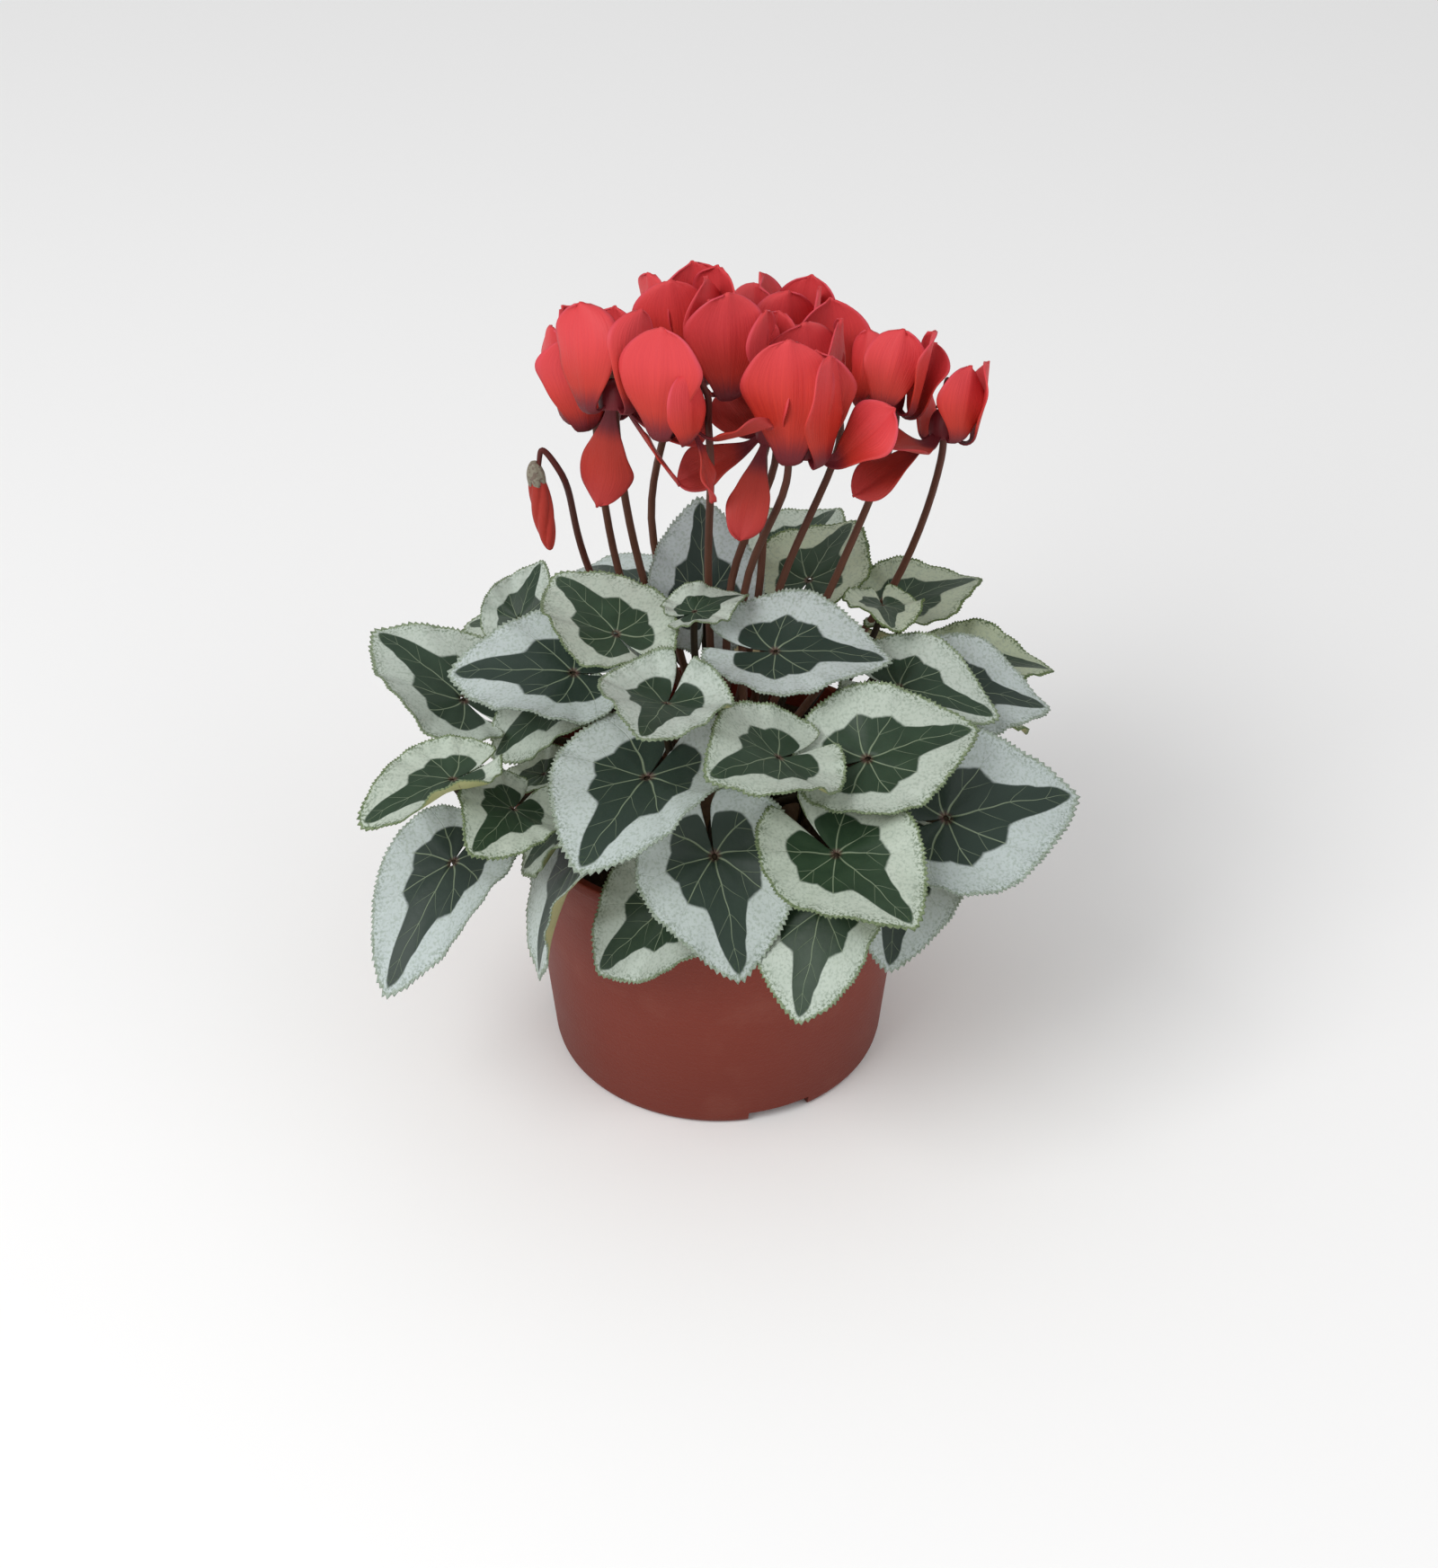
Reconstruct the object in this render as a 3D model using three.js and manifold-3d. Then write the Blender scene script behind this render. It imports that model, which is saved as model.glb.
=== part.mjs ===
// A silver-leaved cyclamen in a round plastic nursery pot: pot, potting soil, corm, leaves on their
// petioles, flower stalks, red blooms and one bud. Millimetres, +Z up. The origin is the middle of the
// pot's flat underside, and the viewer stands at -Y. Azimuths run from the viewer's side, 0 at the front
// and +90 at the right; a slope is above the horizon.
import * as THREE from "three";
import { mergeVertices } from "three/addons/utils/BufferGeometryUtils.js";
import Module from "manifold-3d";

const wasm = await Module();
wasm.setup();

// Driving dimensions.
const CLEARANCE = 0.3; // between pieces that rest on each other
const POT = {
  height: 98,
  rimRadius: 65,
  baseRadius: 54.5,
  wall: 1.8,
  floor: 2,
  lip: 1.6,
  lipHeight: 5,
  baseBevel: 2,
  sides: 30,
};
const NOTCH = {
  firstAzimuth: 21.5,
  count: 3,
  width: 21,
  depth: 11,
  height: 4.2,
  roof: 1.8,
  drainRadius: 2.6,
};
const SOIL = { level: 87, crown: 2.5, sides: 24 };
const CORM = { radius: 27, halfHeight: 14, middle: 84, sides: 20, steps: 4 };
const CROWN = { eyes: 58, reach: 22, spiral: 137.508, centre: 98 };
const BLADE = {
  thickness: 0.75,
  spokes: 16,
  innerSpokes: 8,
  innerShare: 0.55,
  notchAngle: 173, // where the margin stops on each side of the slit behind the petiole
  scallop: 0.022,
  lobeCurl: 34,
  lobeLength: 1.15,
  sideCurl: 24,
  tipDroop: 24,
  wave: 1.6,
  waveCount: 4,
};
const PETIOLE = { radius: 1.2, sides: 4, steps: 5, rise: 0.3, drop: 0.36, trail: 0.1 };
const SCAPE = { radius: 1.35, sides: 4, steps: 12, side: 7.4 };
const THROAT = { radius: 4.5, height: 8.4, bore: 3.2, boreDepth: 6, sides: 8 };
const CALYX = { radius: 3.4, height: 1.7, teeth: 5, gap: 0.35 };
const PETAL = {
  length: 39,
  width: 20,
  thickness: 0.8,
  foot: 3.4, // radius of the ring that the petals spring from, in the throat's wall
  footHeight: 0.6,
  firstSlope: -50,
  bendLength: 9,
  inwardBow: 12,
  rows: [0, 0.13, 0.32, 0.62, 0.87], // shares of the length, short of the tip
  columns: 2,
  twist: 32,
  cup: 0.16,
};
const BUD = { length: 25, radius: 3.3, sides: 10, steps: 6, lobes: 5, twist: 150 };

const COLOURS = {
  pot: 0x8e3e31,
  soil: 0x3a2a1f,
  corm: 0x5b4433,
  leaf: 0x8fa896,
  stalk: 0x5c2a26,
  bloom: 0xd63a38,
};

const rad = THREE.MathUtils.degToRad;
const UP = new THREE.Vector3(0, 0, 1);

const matt = (color, roughness = 0.6) => new THREE.MeshStandardMaterial({ color, roughness, metalness: 0 });
const MATERIALS = {
  pot: matt(COLOURS.pot, 0.5),
  soil: matt(COLOURS.soil, 0.95),
  corm: matt(COLOURS.corm, 0.9),
  leaf: matt(COLOURS.leaf, 0.55),
  stalk: matt(COLOURS.stalk, 0.5),
  bloom: matt(COLOURS.bloom, 0.45),
};

// A point by its azimuth, its distance from the pot's axis and its height.
const spot = (azimuth, reach, height) =>
  new THREE.Vector3(reach * Math.sin(rad(azimuth)), -reach * Math.cos(rad(azimuth)), height);

// A unit vector by its azimuth and its slope.
const heading = (azimuth, slope) => spot(azimuth, Math.cos(rad(slope)), Math.sin(rad(slope)));

// Solids

// Vertices and triangles as a manifold solid.
function solid(points, triangles) {
  const geometry = new THREE.BufferGeometry().setFromPoints(points).setIndex(triangles.flat());
  return solidOf(geometry);
}

// A closed three.js geometry as a manifold solid.
function solidOf(geometry) {
  geometry.deleteAttribute("normal");
  geometry.deleteAttribute("uv");
  const merged = mergeVertices(geometry, 1e-4);
  return new wasm.Manifold(
    new wasm.Mesh({
      numProp: 3,
      vertProperties: merged.attributes.position.array,
      triVerts: new Uint32Array(merged.index.array),
    }),
  );
}

// A named mesh from a manifold solid.
function node(name, shape, material) {
  const made = shape.getMesh();
  const geometry = new THREE.BufferGeometry();
  geometry.setAttribute("position", new THREE.BufferAttribute(made.vertProperties, 3));
  geometry.setIndex(new THREE.BufferAttribute(made.triVerts, 1));
  geometry.computeVertexNormals();
  const mesh = new THREE.Mesh(geometry, material);
  mesh.name = name;
  return mesh;
}

// Shapes fused into one body: a pinhole that the joint closes off is filled, and a loose scrap is dropped.
function join(shapes) {
  const bodies = shapes.reduce((all, shape) => all.add(shape)).decompose();
  return bodies.reduce((largest, body) => (body.volume() > largest.volume() ? body : largest));
}

// A solid of revolution about +Z from [radius, height] pairs.
function turned(profile, sides) {
  const points = profile.map(([radius, height]) => new THREE.Vector2(radius, height));
  return solidOf(new THREE.LatheGeometry(points, sides).rotateX(Math.PI / 2));
}

// A round stalk along a curve.
function stalk(extrudePath, { radius, sides, steps }) {
  const section = new THREE.Shape(new THREE.Path().absarc(0, 0, radius, 0, 2 * Math.PI).getSpacedPoints(sides));
  return solidOf(new THREE.ExtrudeGeometry(section, { extrudePath, steps, bevelEnabled: false }));
}

// A thin closed sheet over a flat net, split alike on both faces. place(u, v, w) puts a flat point at height w.
function sheet(net, place, thickness) {
  const count = net.points.length;
  const points = [thickness / 2, -thickness / 2].flatMap((w) => net.points.map(([u, v]) => place(u, v, w)));
  const triangles = net.triangles.flatMap(([a, b, c]) => [
    [a, b, c],
    [a + count, c + count, b + count],
  ]);
  net.rim.forEach((a, i) => {
    const b = net.rim[(i + 1) % net.rim.length];
    triangles.push([a, a + count, b + count], [a, b + count, b]);
  });
  return solid(points, triangles);
}

// Pot, soil and corm

const potRadiusAt = (height) =>
  THREE.MathUtils.lerp(POT.baseRadius, POT.rimRadius - POT.lip, height / POT.height);

function potSolid() {
  const { height, wall, floor, lipHeight, baseBevel, rimRadius } = POT;
  const lipFoot = height - lipHeight;
  let pot = turned(
    [
      [0, 0],
      [POT.baseRadius - baseBevel, 0],
      [potRadiusAt(baseBevel), baseBevel],
      [potRadiusAt(lipFoot), lipFoot],
      [rimRadius, lipFoot + 1],
      [rimRadius, height - 1],
      [rimRadius - 1, height],
      [rimRadius - wall - 1, height],
      [potRadiusAt(lipFoot) - wall, lipFoot],
      [potRadiusAt(floor) - wall, floor],
      [0, floor],
    ],
    POT.sides,
  );
  for (const [box, isCut] of notchBoxes(0)) pot = isCut ? pot.subtract(box) : pot.add(box);
  return pot;
}

// Each drain notch in the pot's foot: a raised block inside, then the notch and its drain cut out of it.
function notchBoxes(margin) {
  const { width, depth, height, roof, drainRadius } = NOTCH;
  const boxes = [];
  for (let i = 0; i < NOTCH.count; i++) {
    const turn = rad(NOTCH.firstAzimuth + (360 / NOTCH.count) * i);
    const outer = margin ? POT.rimRadius : POT.baseRadius - 2.5;
    const inner = POT.baseRadius - depth - roof - margin;
    const top = height + roof + margin;
    const block = new THREE.BoxGeometry(width + 2 * (roof + margin), outer - inner, top - 0.5);
    block.translate(0, -(outer + inner) / 2, (top + 0.5) / 2);
    boxes.push([solidOf(block.rotateZ(turn)), false]);
    if (margin) continue;
    const cut = new THREE.BoxGeometry(width, depth + 6, height + 1);
    cut.translate(0, depth / 2 - POT.baseRadius - 3, (height - 1) / 2);
    const drain = new THREE.CylinderGeometry(drainRadius, drainRadius, roof + 3, 8);
    drain.rotateX(Math.PI / 2).translate(0, depth / 2 + 1 - POT.baseRadius, height + roof / 2);
    boxes.push([solidOf(cut.rotateZ(turn)), true], [solidOf(drain.rotateZ(turn)), true]);
  }
  return boxes;
}

function soilSolid() {
  const inside = (height) => potRadiusAt(height) - POT.wall - CLEARANCE;
  const bottom = POT.floor + CLEARANCE;
  let soil = turned(
    [
      [0, bottom],
      [inside(bottom) - 0.2, bottom],
      [inside(SOIL.level) - 0.2, SOIL.level],
      [inside(SOIL.level) * 0.72, SOIL.level + SOIL.crown],
      [inside(SOIL.level) * 0.5, SOIL.level + 0.4],
      [0, SOIL.level + SOIL.crown],
    ],
    SOIL.sides,
  );
  for (const [box] of notchBoxes(CLEARANCE)) soil = soil.subtract(box);
  const hollow = turned(cormProfile(CLEARANCE, SOIL.level + 20), CORM.sides);
  return soil.subtract(hollow);
}

// The corm is a flattened globe; with a top, the hollow that it sits in runs straight up from its widest ring.
function cormProfile(margin, top) {
  const { radius, halfHeight, middle, steps } = CORM;
  const profile = [];
  const last = top ? 0 : steps;
  for (let i = -steps; i <= last; i++) {
    const turn = (Math.PI / 2) * (i / steps);
    const r = Math.abs(i) === steps ? 0 : (radius + margin) * Math.cos(turn);
    profile.push([r, middle + (halfHeight + margin) * Math.sin(turn)]);
  }
  if (top) profile.push([radius + margin, top], [0, top]);
  return profile;
}

// The crown's surface point and its outward direction, at a place given by azimuth and distance from the axis.
function crownPoint(azimuth, reach) {
  const { radius, halfHeight, middle } = CORM;
  const lift = Math.sqrt(1 - (reach / radius) ** 2);
  const steepness = THREE.MathUtils.radToDeg(Math.atan2(halfHeight * reach, radius * radius * lift));
  const out = heading(azimuth, 90 - steepness);
  const height = middle + halfHeight * lift;
  return { point: spot(azimuth, reach, height).addScaledVector(out, CLEARANCE + 0.1), out };
}

// The crown's eyes follow the plant's own spiral, evenly apart: each stalk takes the free eye nearest to its
// way out, the steep ones in the middle and the low ones outside.
const EYES = Array.from({ length: CROWN.eyes }, (_, k) => {
  const reach = CROWN.reach * Math.sqrt((k + 0.5) / CROWN.eyes);
  return { reach, azimuth: CROWN.spiral * k, isTaken: false };
});

function takeEye(target) {
  const away = target.clone().sub(spot(0, 0, CROWN.centre)).normalize();
  const wished = away.clone().setZ(0).multiplyScalar(CROWN.reach);
  const distance = (eye) => spot(eye.azimuth, eye.reach, 0).distanceTo(wished) + (eye.isTaken ? 1000 : 0);
  const eye = EYES.reduce((best, other) => (distance(other) < distance(best) ? other : best));
  eye.isTaken = true;
  return crownPoint(eye.azimuth, eye.reach);
}

// Leaves

// Distance from the petiole to the margin, for a leaf one unit from petiole to tip, by degrees from the tip:
// a round heart, drawn out to the pointed tip, with the slit behind the petiole.
function marginReach(angle) {
  const slit = 1 - Math.exp(-(((180 - Math.abs(angle)) / 10) ** 2));
  const heart = 0.56 + 0.07 * Math.cos(rad(angle)) + 0.05 * Math.sin(rad(angle)) ** 2;
  return (heart + 0.37 * Math.exp(-((angle / 28) ** 2))) * slit;
}

// The flat blade as spokes from the petiole: an inner ring, and a scalloped margin of twice as many points.
function bladeNet() {
  const { spokes, innerSpokes, innerShare, notchAngle, scallop } = BLADE;
  const polar = (angle, share) => [
    share * marginReach(angle) * Math.cos(rad(angle)),
    share * marginReach(angle) * Math.sin(rad(angle)),
  ];
  const points = [[0, 0]];
  for (let i = 0; i <= innerSpokes; i++)
    points.push(polar(notchAngle * ((2 * i) / innerSpokes - 1), innerShare));
  for (let i = 0; i <= spokes; i++)
    points.push(polar(notchAngle * ((2 * i) / spokes - 1), 1 + (i % 2 ? -scallop : scallop)));
  const outer = innerSpokes + 2;
  const triangles = [];
  for (let i = 0; i < innerSpokes; i++) {
    const a = 1 + i;
    const b = outer + 2 * i;
    triangles.push([0, a + 1, a], [a, b + 1, b], [a, a + 1, b + 1], [a + 1, b + 2, b + 1]);
  }
  const margin = Array.from({ length: spokes + 1 }, (_, i) => outer + i).reverse();
  return { points, triangles, rim: [0, innerSpokes + 1, ...margin, 1] };
}

// Rolls a strip: a point at distance along and height up goes to the arc that bends by curve per millimetre.
function roll(along, up, curve) {
  if (Math.abs(curve) < 1e-6) return [along, up];
  const arm = 1 / curve - up;
  return [arm * Math.sin(curve * along), 1 / curve - arm * Math.cos(curve * along)];
}

// A leaf's own frame at the petiole: tip direction, right-hand side and upper face.
function leafFrame(leaf) {
  const slope = leaf.slope + (leaf.droop ?? BLADE.tipDroop) / 2;
  const tip = heading(leaf.heading, slope);
  const side = tip.clone().cross(UP).normalize();
  const face = side.clone().cross(tip);
  const turn = rad(leaf.roll ?? 0);
  return {
    tip,
    side: side.clone().multiplyScalar(Math.cos(turn)).addScaledVector(face, -Math.sin(turn)),
    face: face.clone().multiplyScalar(Math.cos(turn)).addScaledVector(side, Math.sin(turn)),
    base: spot(leaf.azimuth, leaf.reach, leaf.height),
  };
}

// Puts a flat blade point in place: the waved margin, each side curled up about the midrib, the tip drooping
// and the two lobes behind the petiole rising.
function bladePlacer(leaf) {
  const frame = leafFrame(leaf);
  const { length } = leaf;
  const width = length * (leaf.width ?? 1);
  const sideCurls = leaf.curl ?? [BLADE.sideCurl, BLADE.sideCurl];
  const droop = rad(leaf.droop ?? BLADE.tipDroop);
  const lobeCurl = rad(leaf.lobes ?? BLADE.lobeCurl);
  const lobeLength = leaf.back ?? BLADE.lobeLength;
  const wave = leaf.wave ?? BLADE.wave;
  return (u, v, w) => {
    const angle = THREE.MathUtils.radToDeg(Math.atan2(v, u));
    const share = Math.min(1, Math.hypot(u, v) / Math.max(marginReach(angle), 0.15));
    const lift = w + wave * share ** 2 * Math.sin(rad(BLADE.waveCount * angle + (leaf.phase ?? 0)));
    const curl = rad(sideCurls[v < 0 ? 0 : 1]) / (0.56 * width);
    const [across, up] = roll(v * width, lift, curl);
    const bend = u > 0 ? -droop / length : lobeCurl / (0.5 * length);
    const [along, out] = roll(u * length * (u < 0 ? lobeLength : 1), up, bend);
    return frame.base
      .clone()
      .addScaledVector(frame.tip, along)
      .addScaledVector(frame.side, across)
      .addScaledVector(frame.face, out);
  };
}

// The petiole leaves the corm squarely, arches over the rim and meets the blade from below.
function petioleCurve(leaf, root) {
  const { base, face, tip } = leafFrame(leaf);
  const span = base.distanceTo(root.point);
  const arrive = base
    .clone()
    .addScaledVector(face, -PETIOLE.drop * span)
    .addScaledVector(tip, -(leaf.trail ?? PETIOLE.trail) * span);
  arrive.z = Math.max(arrive.z, Math.min(base.z - 2, POT.height + 6 + (leaf.arch ?? 0)));
  const leave = root.point.clone().addScaledVector(root.out, PETIOLE.rise * span);
  if (leaf.bow) {
    const sideways = base.clone().sub(root.point).cross(UP).normalize();
    leave.addScaledVector(sideways, leaf.bow);
    arrive.addScaledVector(sideways, leaf.bow);
  }
  return new THREE.CubicBezierCurve3(root.point, leave, arrive, base);
}

const NET = bladeNet();

function leafSolid(leaf, root) {
  return sheet(NET, bladePlacer(leaf), BLADE.thickness).add(stalk(petioleCurve(leaf, root), PETIOLE));
}

// Each leaf: where its petiole joins the blade (azimuth, reach, height), where its tip points (heading,
// slope of the line to the tip), roll about that line and length from petiole to tip. Where they aren't the
// usual ones: width against length, back and lobes for the two lobes behind the petiole, curl of the left and
// right side, droop of the tip, wave and its phase, and bow, trail and arch for the way of the petiole.
const LEAVES = [
  {
    name: "leaf_top_right", azimuth: 56, reach: 21, height: 158, heading: 79, slope: -1, length: 37,
    roll: 12, back: 1.3,
  },
  {
    name: "leaf_top_middle", azimuth: -62, reach: 8, height: 167, heading: 122, slope: -2, length: 20,
    width: 0.9,
  },
  {
    name: "leaf_top_left", azimuth: -75, reach: 32, height: 162, heading: -145, slope: 2, length: 37,
    width: 0.92, bow: -2.5,
  },
  {
    name: "leaf_heart", azimuth: -18, reach: 49, height: 164, heading: -13, slope: 15, length: 31,
    roll: -6, back: 1.5, lobes: 75, width: 1.1, trail: 0.3,
  },
  {
    name: "leaf_back_upright", azimuth: -171, reach: 28, height: 150, heading: -176, slope: 52, length: 34,
    width: 0.96,
  },
  {
    name: "leaf_middle_right", azimuth: 18, reach: 57, height: 150, heading: -41, slope: 16, length: 33,
    roll: -18, back: 1.45, lobes: 29, width: 1.06, bow: -3,
  },
  {
    name: "leaf_right", azimuth: 46, reach: 62, height: 141, heading: 104, slope: 5, length: 37,
    roll: 20, back: 1.35, lobes: 24, width: 1.08, bow: 5, droop: 22,
  },
  {
    name: "leaf_left", azimuth: -80, reach: 45, height: 147, heading: -97, slope: -8, length: 42,
    roll: -12, trail: 0.3, bow: 6,
  },
  {
    name: "leaf_folded_left", azimuth: -81, reach: 48, height: 139, heading: -73, slope: -42, length: 33,
    roll: -10, back: 0.9, lobes: 8, bow: -4, droop: 18,
  },
  {
    name: "leaf_large_front", azimuth: -23, reach: 54, height: 139, heading: -31, slope: -13, length: 42,
    roll: 5, back: 1.5, lobes: 24, width: 1.12, bow: -4, droop: 22,
  },
  {
    name: "leaf_far_right", azimuth: 90, reach: 73, height: 135, heading: 92, slope: -18, length: 34,
    roll: 14, back: 1.3,
  },
  {
    name: "leaf_front_right", azimuth: 27, reach: 77, height: 125, heading: 37, slope: -6, length: 38,
    roll: 11, back: 1.45, lobes: 30, width: 1.1, bow: 4, droop: 12, trail: 0.25,
  },
  {
    name: "leaf_front", azimuth: -1, reach: 62, height: 119, heading: 16, slope: -46, length: 40,
    roll: 3, back: 1.35, lobes: 63, width: 1.08, bow: -3, droop: 28,
  },
  {
    name: "leaf_low_left", azimuth: -51, reach: 79, height: 127, heading: -19, slope: 4, length: 29,
    roll: -22, back: 1.2, lobes: 24, bow: 12, droop: 27,
  },
  {
    name: "leaf_front_left", azimuth: -42, reach: 62, height: 124, heading: -89, slope: -53, length: 32,
    roll: -1, lobes: -9, bow: -8, droop: 15,
  },
  {
    name: "leaf_far_left", azimuth: -58, reach: 93, height: 138, heading: -59, slope: -9, length: 33,
    roll: 1, back: 1.1, lobes: 34, width: 0.9, bow: 7, curl: [60, 24],
  },
  {
    name: "leaf_back_left", azimuth: -93, reach: 80, height: 128, heading: -130, slope: 12, length: 42,
    bow: 6, width: 0.92,
  },
  {
    name: "leaf_wide_right", azimuth: 56, reach: 83, height: 121, heading: 104, slope: -5, length: 46,
    roll: 30, back: 1.2, width: 1.05, bow: -5,
  },
  {
    name: "leaf_upper_right", azimuth: 123, reach: 70, height: 141, heading: 118, slope: 0, length: 31,
    bow: 6,
  },
  {
    name: "leaf_small_top", azimuth: 108, reach: 54, height: 155, heading: 6, slope: 12, length: 22,
    roll: -8, lobes: 45, bow: -3, droop: 26,
  },
  { name: "leaf_rear_top", azimuth: 143, reach: 48, height: 150, heading: 150, slope: 10, length: 32 },
  { name: "leaf_rear", azimuth: 162, reach: 74, height: 139, heading: 143, slope: 5, length: 30 },
  {
    name: "leaf_small_right", azimuth: 77, reach: 57, height: 145, heading: 74, slope: -12, length: 33,
    roll: 12, back: 1.2, lobes: 24, width: 1.05, bow: -2, droop: 25,
  },
  {
    name: "leaf_gap_left", azimuth: -76, reach: 56, height: 112, heading: -93, slope: -37, length: 24,
    roll: -1, back: 1, lobes: -18, width: 0.8, bow: -1, droop: 28,
  },
  {
    name: "leaf_skirt_left", azimuth: -62, reach: 92, height: 101, heading: -33, slope: -37, length: 48,
    back: 1, lobes: -35, width: 0.72, bow: -2, droop: 25,
  },
  {
    name: "leaf_skirt_front_left", azimuth: -37, reach: 70, height: 112, heading: -58, slope: -65, length: 42,
    roll: 28, lobes: -43, width: 1.15, bow: 3, droop: 32,
  },
  {
    name: "leaf_skirt_front", azimuth: -13, reach: 67, height: 102, heading: -75, slope: -49, length: 34,
    roll: -23, back: 1, lobes: -12, width: 1.05, bow: -1, droop: 25,
  },
  {
    name: "leaf_skirt_front_right", azimuth: 23, reach: 79, height: 107, heading: -19, slope: -46, length: 36,
    roll: 10, back: 1.2, lobes: -53, width: 1.05, bow: -4, droop: 23,
  },
  {
    name: "leaf_skirt_right", azimuth: 52, reach: 70, height: 104, heading: -3, slope: -46, length: 38,
    roll: -12, lobes: -14, bow: 3, droop: 28,
  },
];

// Sprays of leaves that share one foot on the crown.
const SPRAYS = [
  {
    name: "leaves_back_left",
    leaves: [
      { azimuth: -118, reach: 72, height: 138, heading: 156, slope: 35, length: 22, bow: 6 },
      { azimuth: -130, reach: 74, height: 124, heading: -126, slope: -20, length: 38 },
      { azimuth: -136, reach: 76, height: 107, heading: -137, slope: -50, length: 37, bow: -6 },
    ],
  },
  {
    name: "leaves_back",
    leaves: [
      { azimuth: -152, reach: 58, height: 136, heading: -150, slope: -16, length: 38, bow: 4, width: 0.9 },
      { azimuth: 178, reach: 70, height: 118, heading: 176, slope: -26, length: 38, width: 0.9 },
      { azimuth: 176, reach: 78, height: 103, heading: 168, slope: -52, length: 36, width: 0.9 },
    ],
  },
  {
    name: "leaves_back_right",
    leaves: [
      { azimuth: 108, reach: 84, height: 127, heading: 96, slope: -12, length: 30, bow: -6 },
      { azimuth: 112, reach: 82, height: 112, heading: 112, slope: -42, length: 38 },
      { azimuth: 147, reach: 78, height: 109, heading: 148, slope: -48, length: 38, bow: 6 },
    ],
  },
];

// Blooms

// A petal's middle line, in a plane through the flower's axis: distances from the axis and above the mouth.
// It starts outward and down, turns to its own slope over the bend, then bows inward a little.
function petalLine(slope, length) {
  const pieces = 48;
  const step = length / pieces;
  const line = [[PETAL.foot, PETAL.footHeight, PETAL.firstSlope]];
  for (let i = 1; i <= pieces; i++) {
    const s = (i - 0.5) * step;
    const turn = THREE.MathUtils.smoothstep(s, 0, PETAL.bendLength);
    const angle = PETAL.firstSlope + (slope - PETAL.firstSlope) * turn + PETAL.inwardBow * (s / length) ** 2;
    const [r, h] = line[i - 1];
    line.push([r + Math.cos(rad(angle)) * step, h + Math.sin(rad(angle)) * step, angle]);
  }
  return (share) => {
    const at = share * pieces;
    const i = Math.min(pieces - 1, Math.floor(at));
    return line[i].map((value, k) => THREE.MathUtils.lerp(value, line[i + 1][k], at - i));
  };
}

// A petal's width along its length: a narrow claw, widest at two thirds, then a softly pointed tip.
function petalWidth(share) {
  const claw = 0.2 + 0.8 * THREE.MathUtils.smoothstep(share, 0, 0.55);
  const tip = share > 0.55 ? (1 - ((share - 0.55) / 0.45) ** 2) ** 0.6 : 1;
  return claw * tip;
}

function petalNet() {
  const { rows, columns } = PETAL;
  const row = columns + 1;
  const points = rows.flatMap((share) => Array.from({ length: row }, (_, j) => [share, (2 * j) / columns - 1]));
  points.push([1, 0]);
  const triangles = [];
  for (let i = 0; i < rows.length - 1; i++)
    for (let j = 0; j < columns; j++) {
      const a = i * row + j;
      triangles.push([a, a + row, a + row + 1], [a, a + row + 1, a + 1]);
    }
  const last = (rows.length - 1) * row;
  const end = points.length - 1;
  for (let j = 0; j < columns; j++) triangles.push([last + j, end, last + j + 1]);
  const left = rows.map((_, i) => i * row);
  const right = rows.map((_, i) => i * row + columns).reverse();
  const foot = Array.from({ length: columns - 1 }, (_, j) => columns - 1 - j);
  return { points, triangles, rim: [...left, end, ...right, ...foot] };
}

const PETAL_NET = petalNet();

// A bloom's frame: up runs back along the flower's axis from mouth to calyx, out points to the stalk's side.
function bloomFrame(bloom) {
  const up = heading(bloom.lean[0], 90 - bloom.lean[1]);
  const out = outwardOf(up, bloom.stalkSide);
  return { mouth: new THREE.Vector3(...bloom.mouth), up, out, across: up.clone().cross(out) };
}

// A point by its distance from the flower's axis, toward an outward direction, and its height over the mouth.
const bloomPoint = (frame, outward, radius, height) =>
  frame.mouth.clone().addScaledVector(outward, radius).addScaledVector(frame.up, height);

// The direction square to the flower's axis that points to an azimuth.
function outwardOf(up, azimuth) {
  const out = heading(azimuth, 0);
  return out.addScaledVector(up, -out.dot(up)).normalize();
}

function petalSolid(frame, [azimuth, slope, twist = PETAL.twist, size = 1]) {
  const line = petalLine(slope, PETAL.length * size);
  const outward = outwardOf(frame.up, azimuth);
  const around = frame.up.clone().cross(outward);
  return sheet(
    PETAL_NET,
    (share, side, w) => {
      const [radius, height, angle] = line(share);
      const inward = outward
        .clone()
        .multiplyScalar(-Math.sin(rad(angle)))
        .addScaledVector(frame.up, Math.cos(rad(angle)));
      const turned = rad(twist * (0.5 + 0.5 * share));
      const half = ((PETAL.width * size) / 2) * petalWidth(share);
      const across = around.clone().multiplyScalar(Math.cos(turned)).addScaledVector(inward, Math.sin(turned));
      const face = inward.clone().multiplyScalar(Math.cos(turned)).addScaledVector(around, -Math.sin(turned));
      return bloomPoint(frame, outward, radius, height)
        .addScaledVector(across, half * side)
        .addScaledVector(face, w + PETAL.cup * half * side * side);
    },
    PETAL.thickness,
  );
}

// The short corolla tube: a cup with its mouth down, its bore open.
function throatSolid(frame) {
  const { radius, height, bore, boreDepth, sides } = THROAT;
  const cup = turned(
    [
      [0, boreDepth],
      [bore * 0.8, boreDepth],
      [bore, -0.4],
      [radius - 0.3, -0.4],
      [radius, height * 0.45],
      [radius * 0.62, height],
      [0, height],
    ],
    sides,
  );
  const place = new THREE.Matrix4().makeBasis(frame.out, frame.across, frame.up).setPosition(frame.mouth);
  return cup.transform(place.elements);
}

function bloomSolid(bloom) {
  const frame = bloomFrame(bloom);
  const petals = bloom.petals.map((petal) => petalSolid(frame, petal));
  return join([throatSolid(frame), ...petals]);
}

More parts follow.
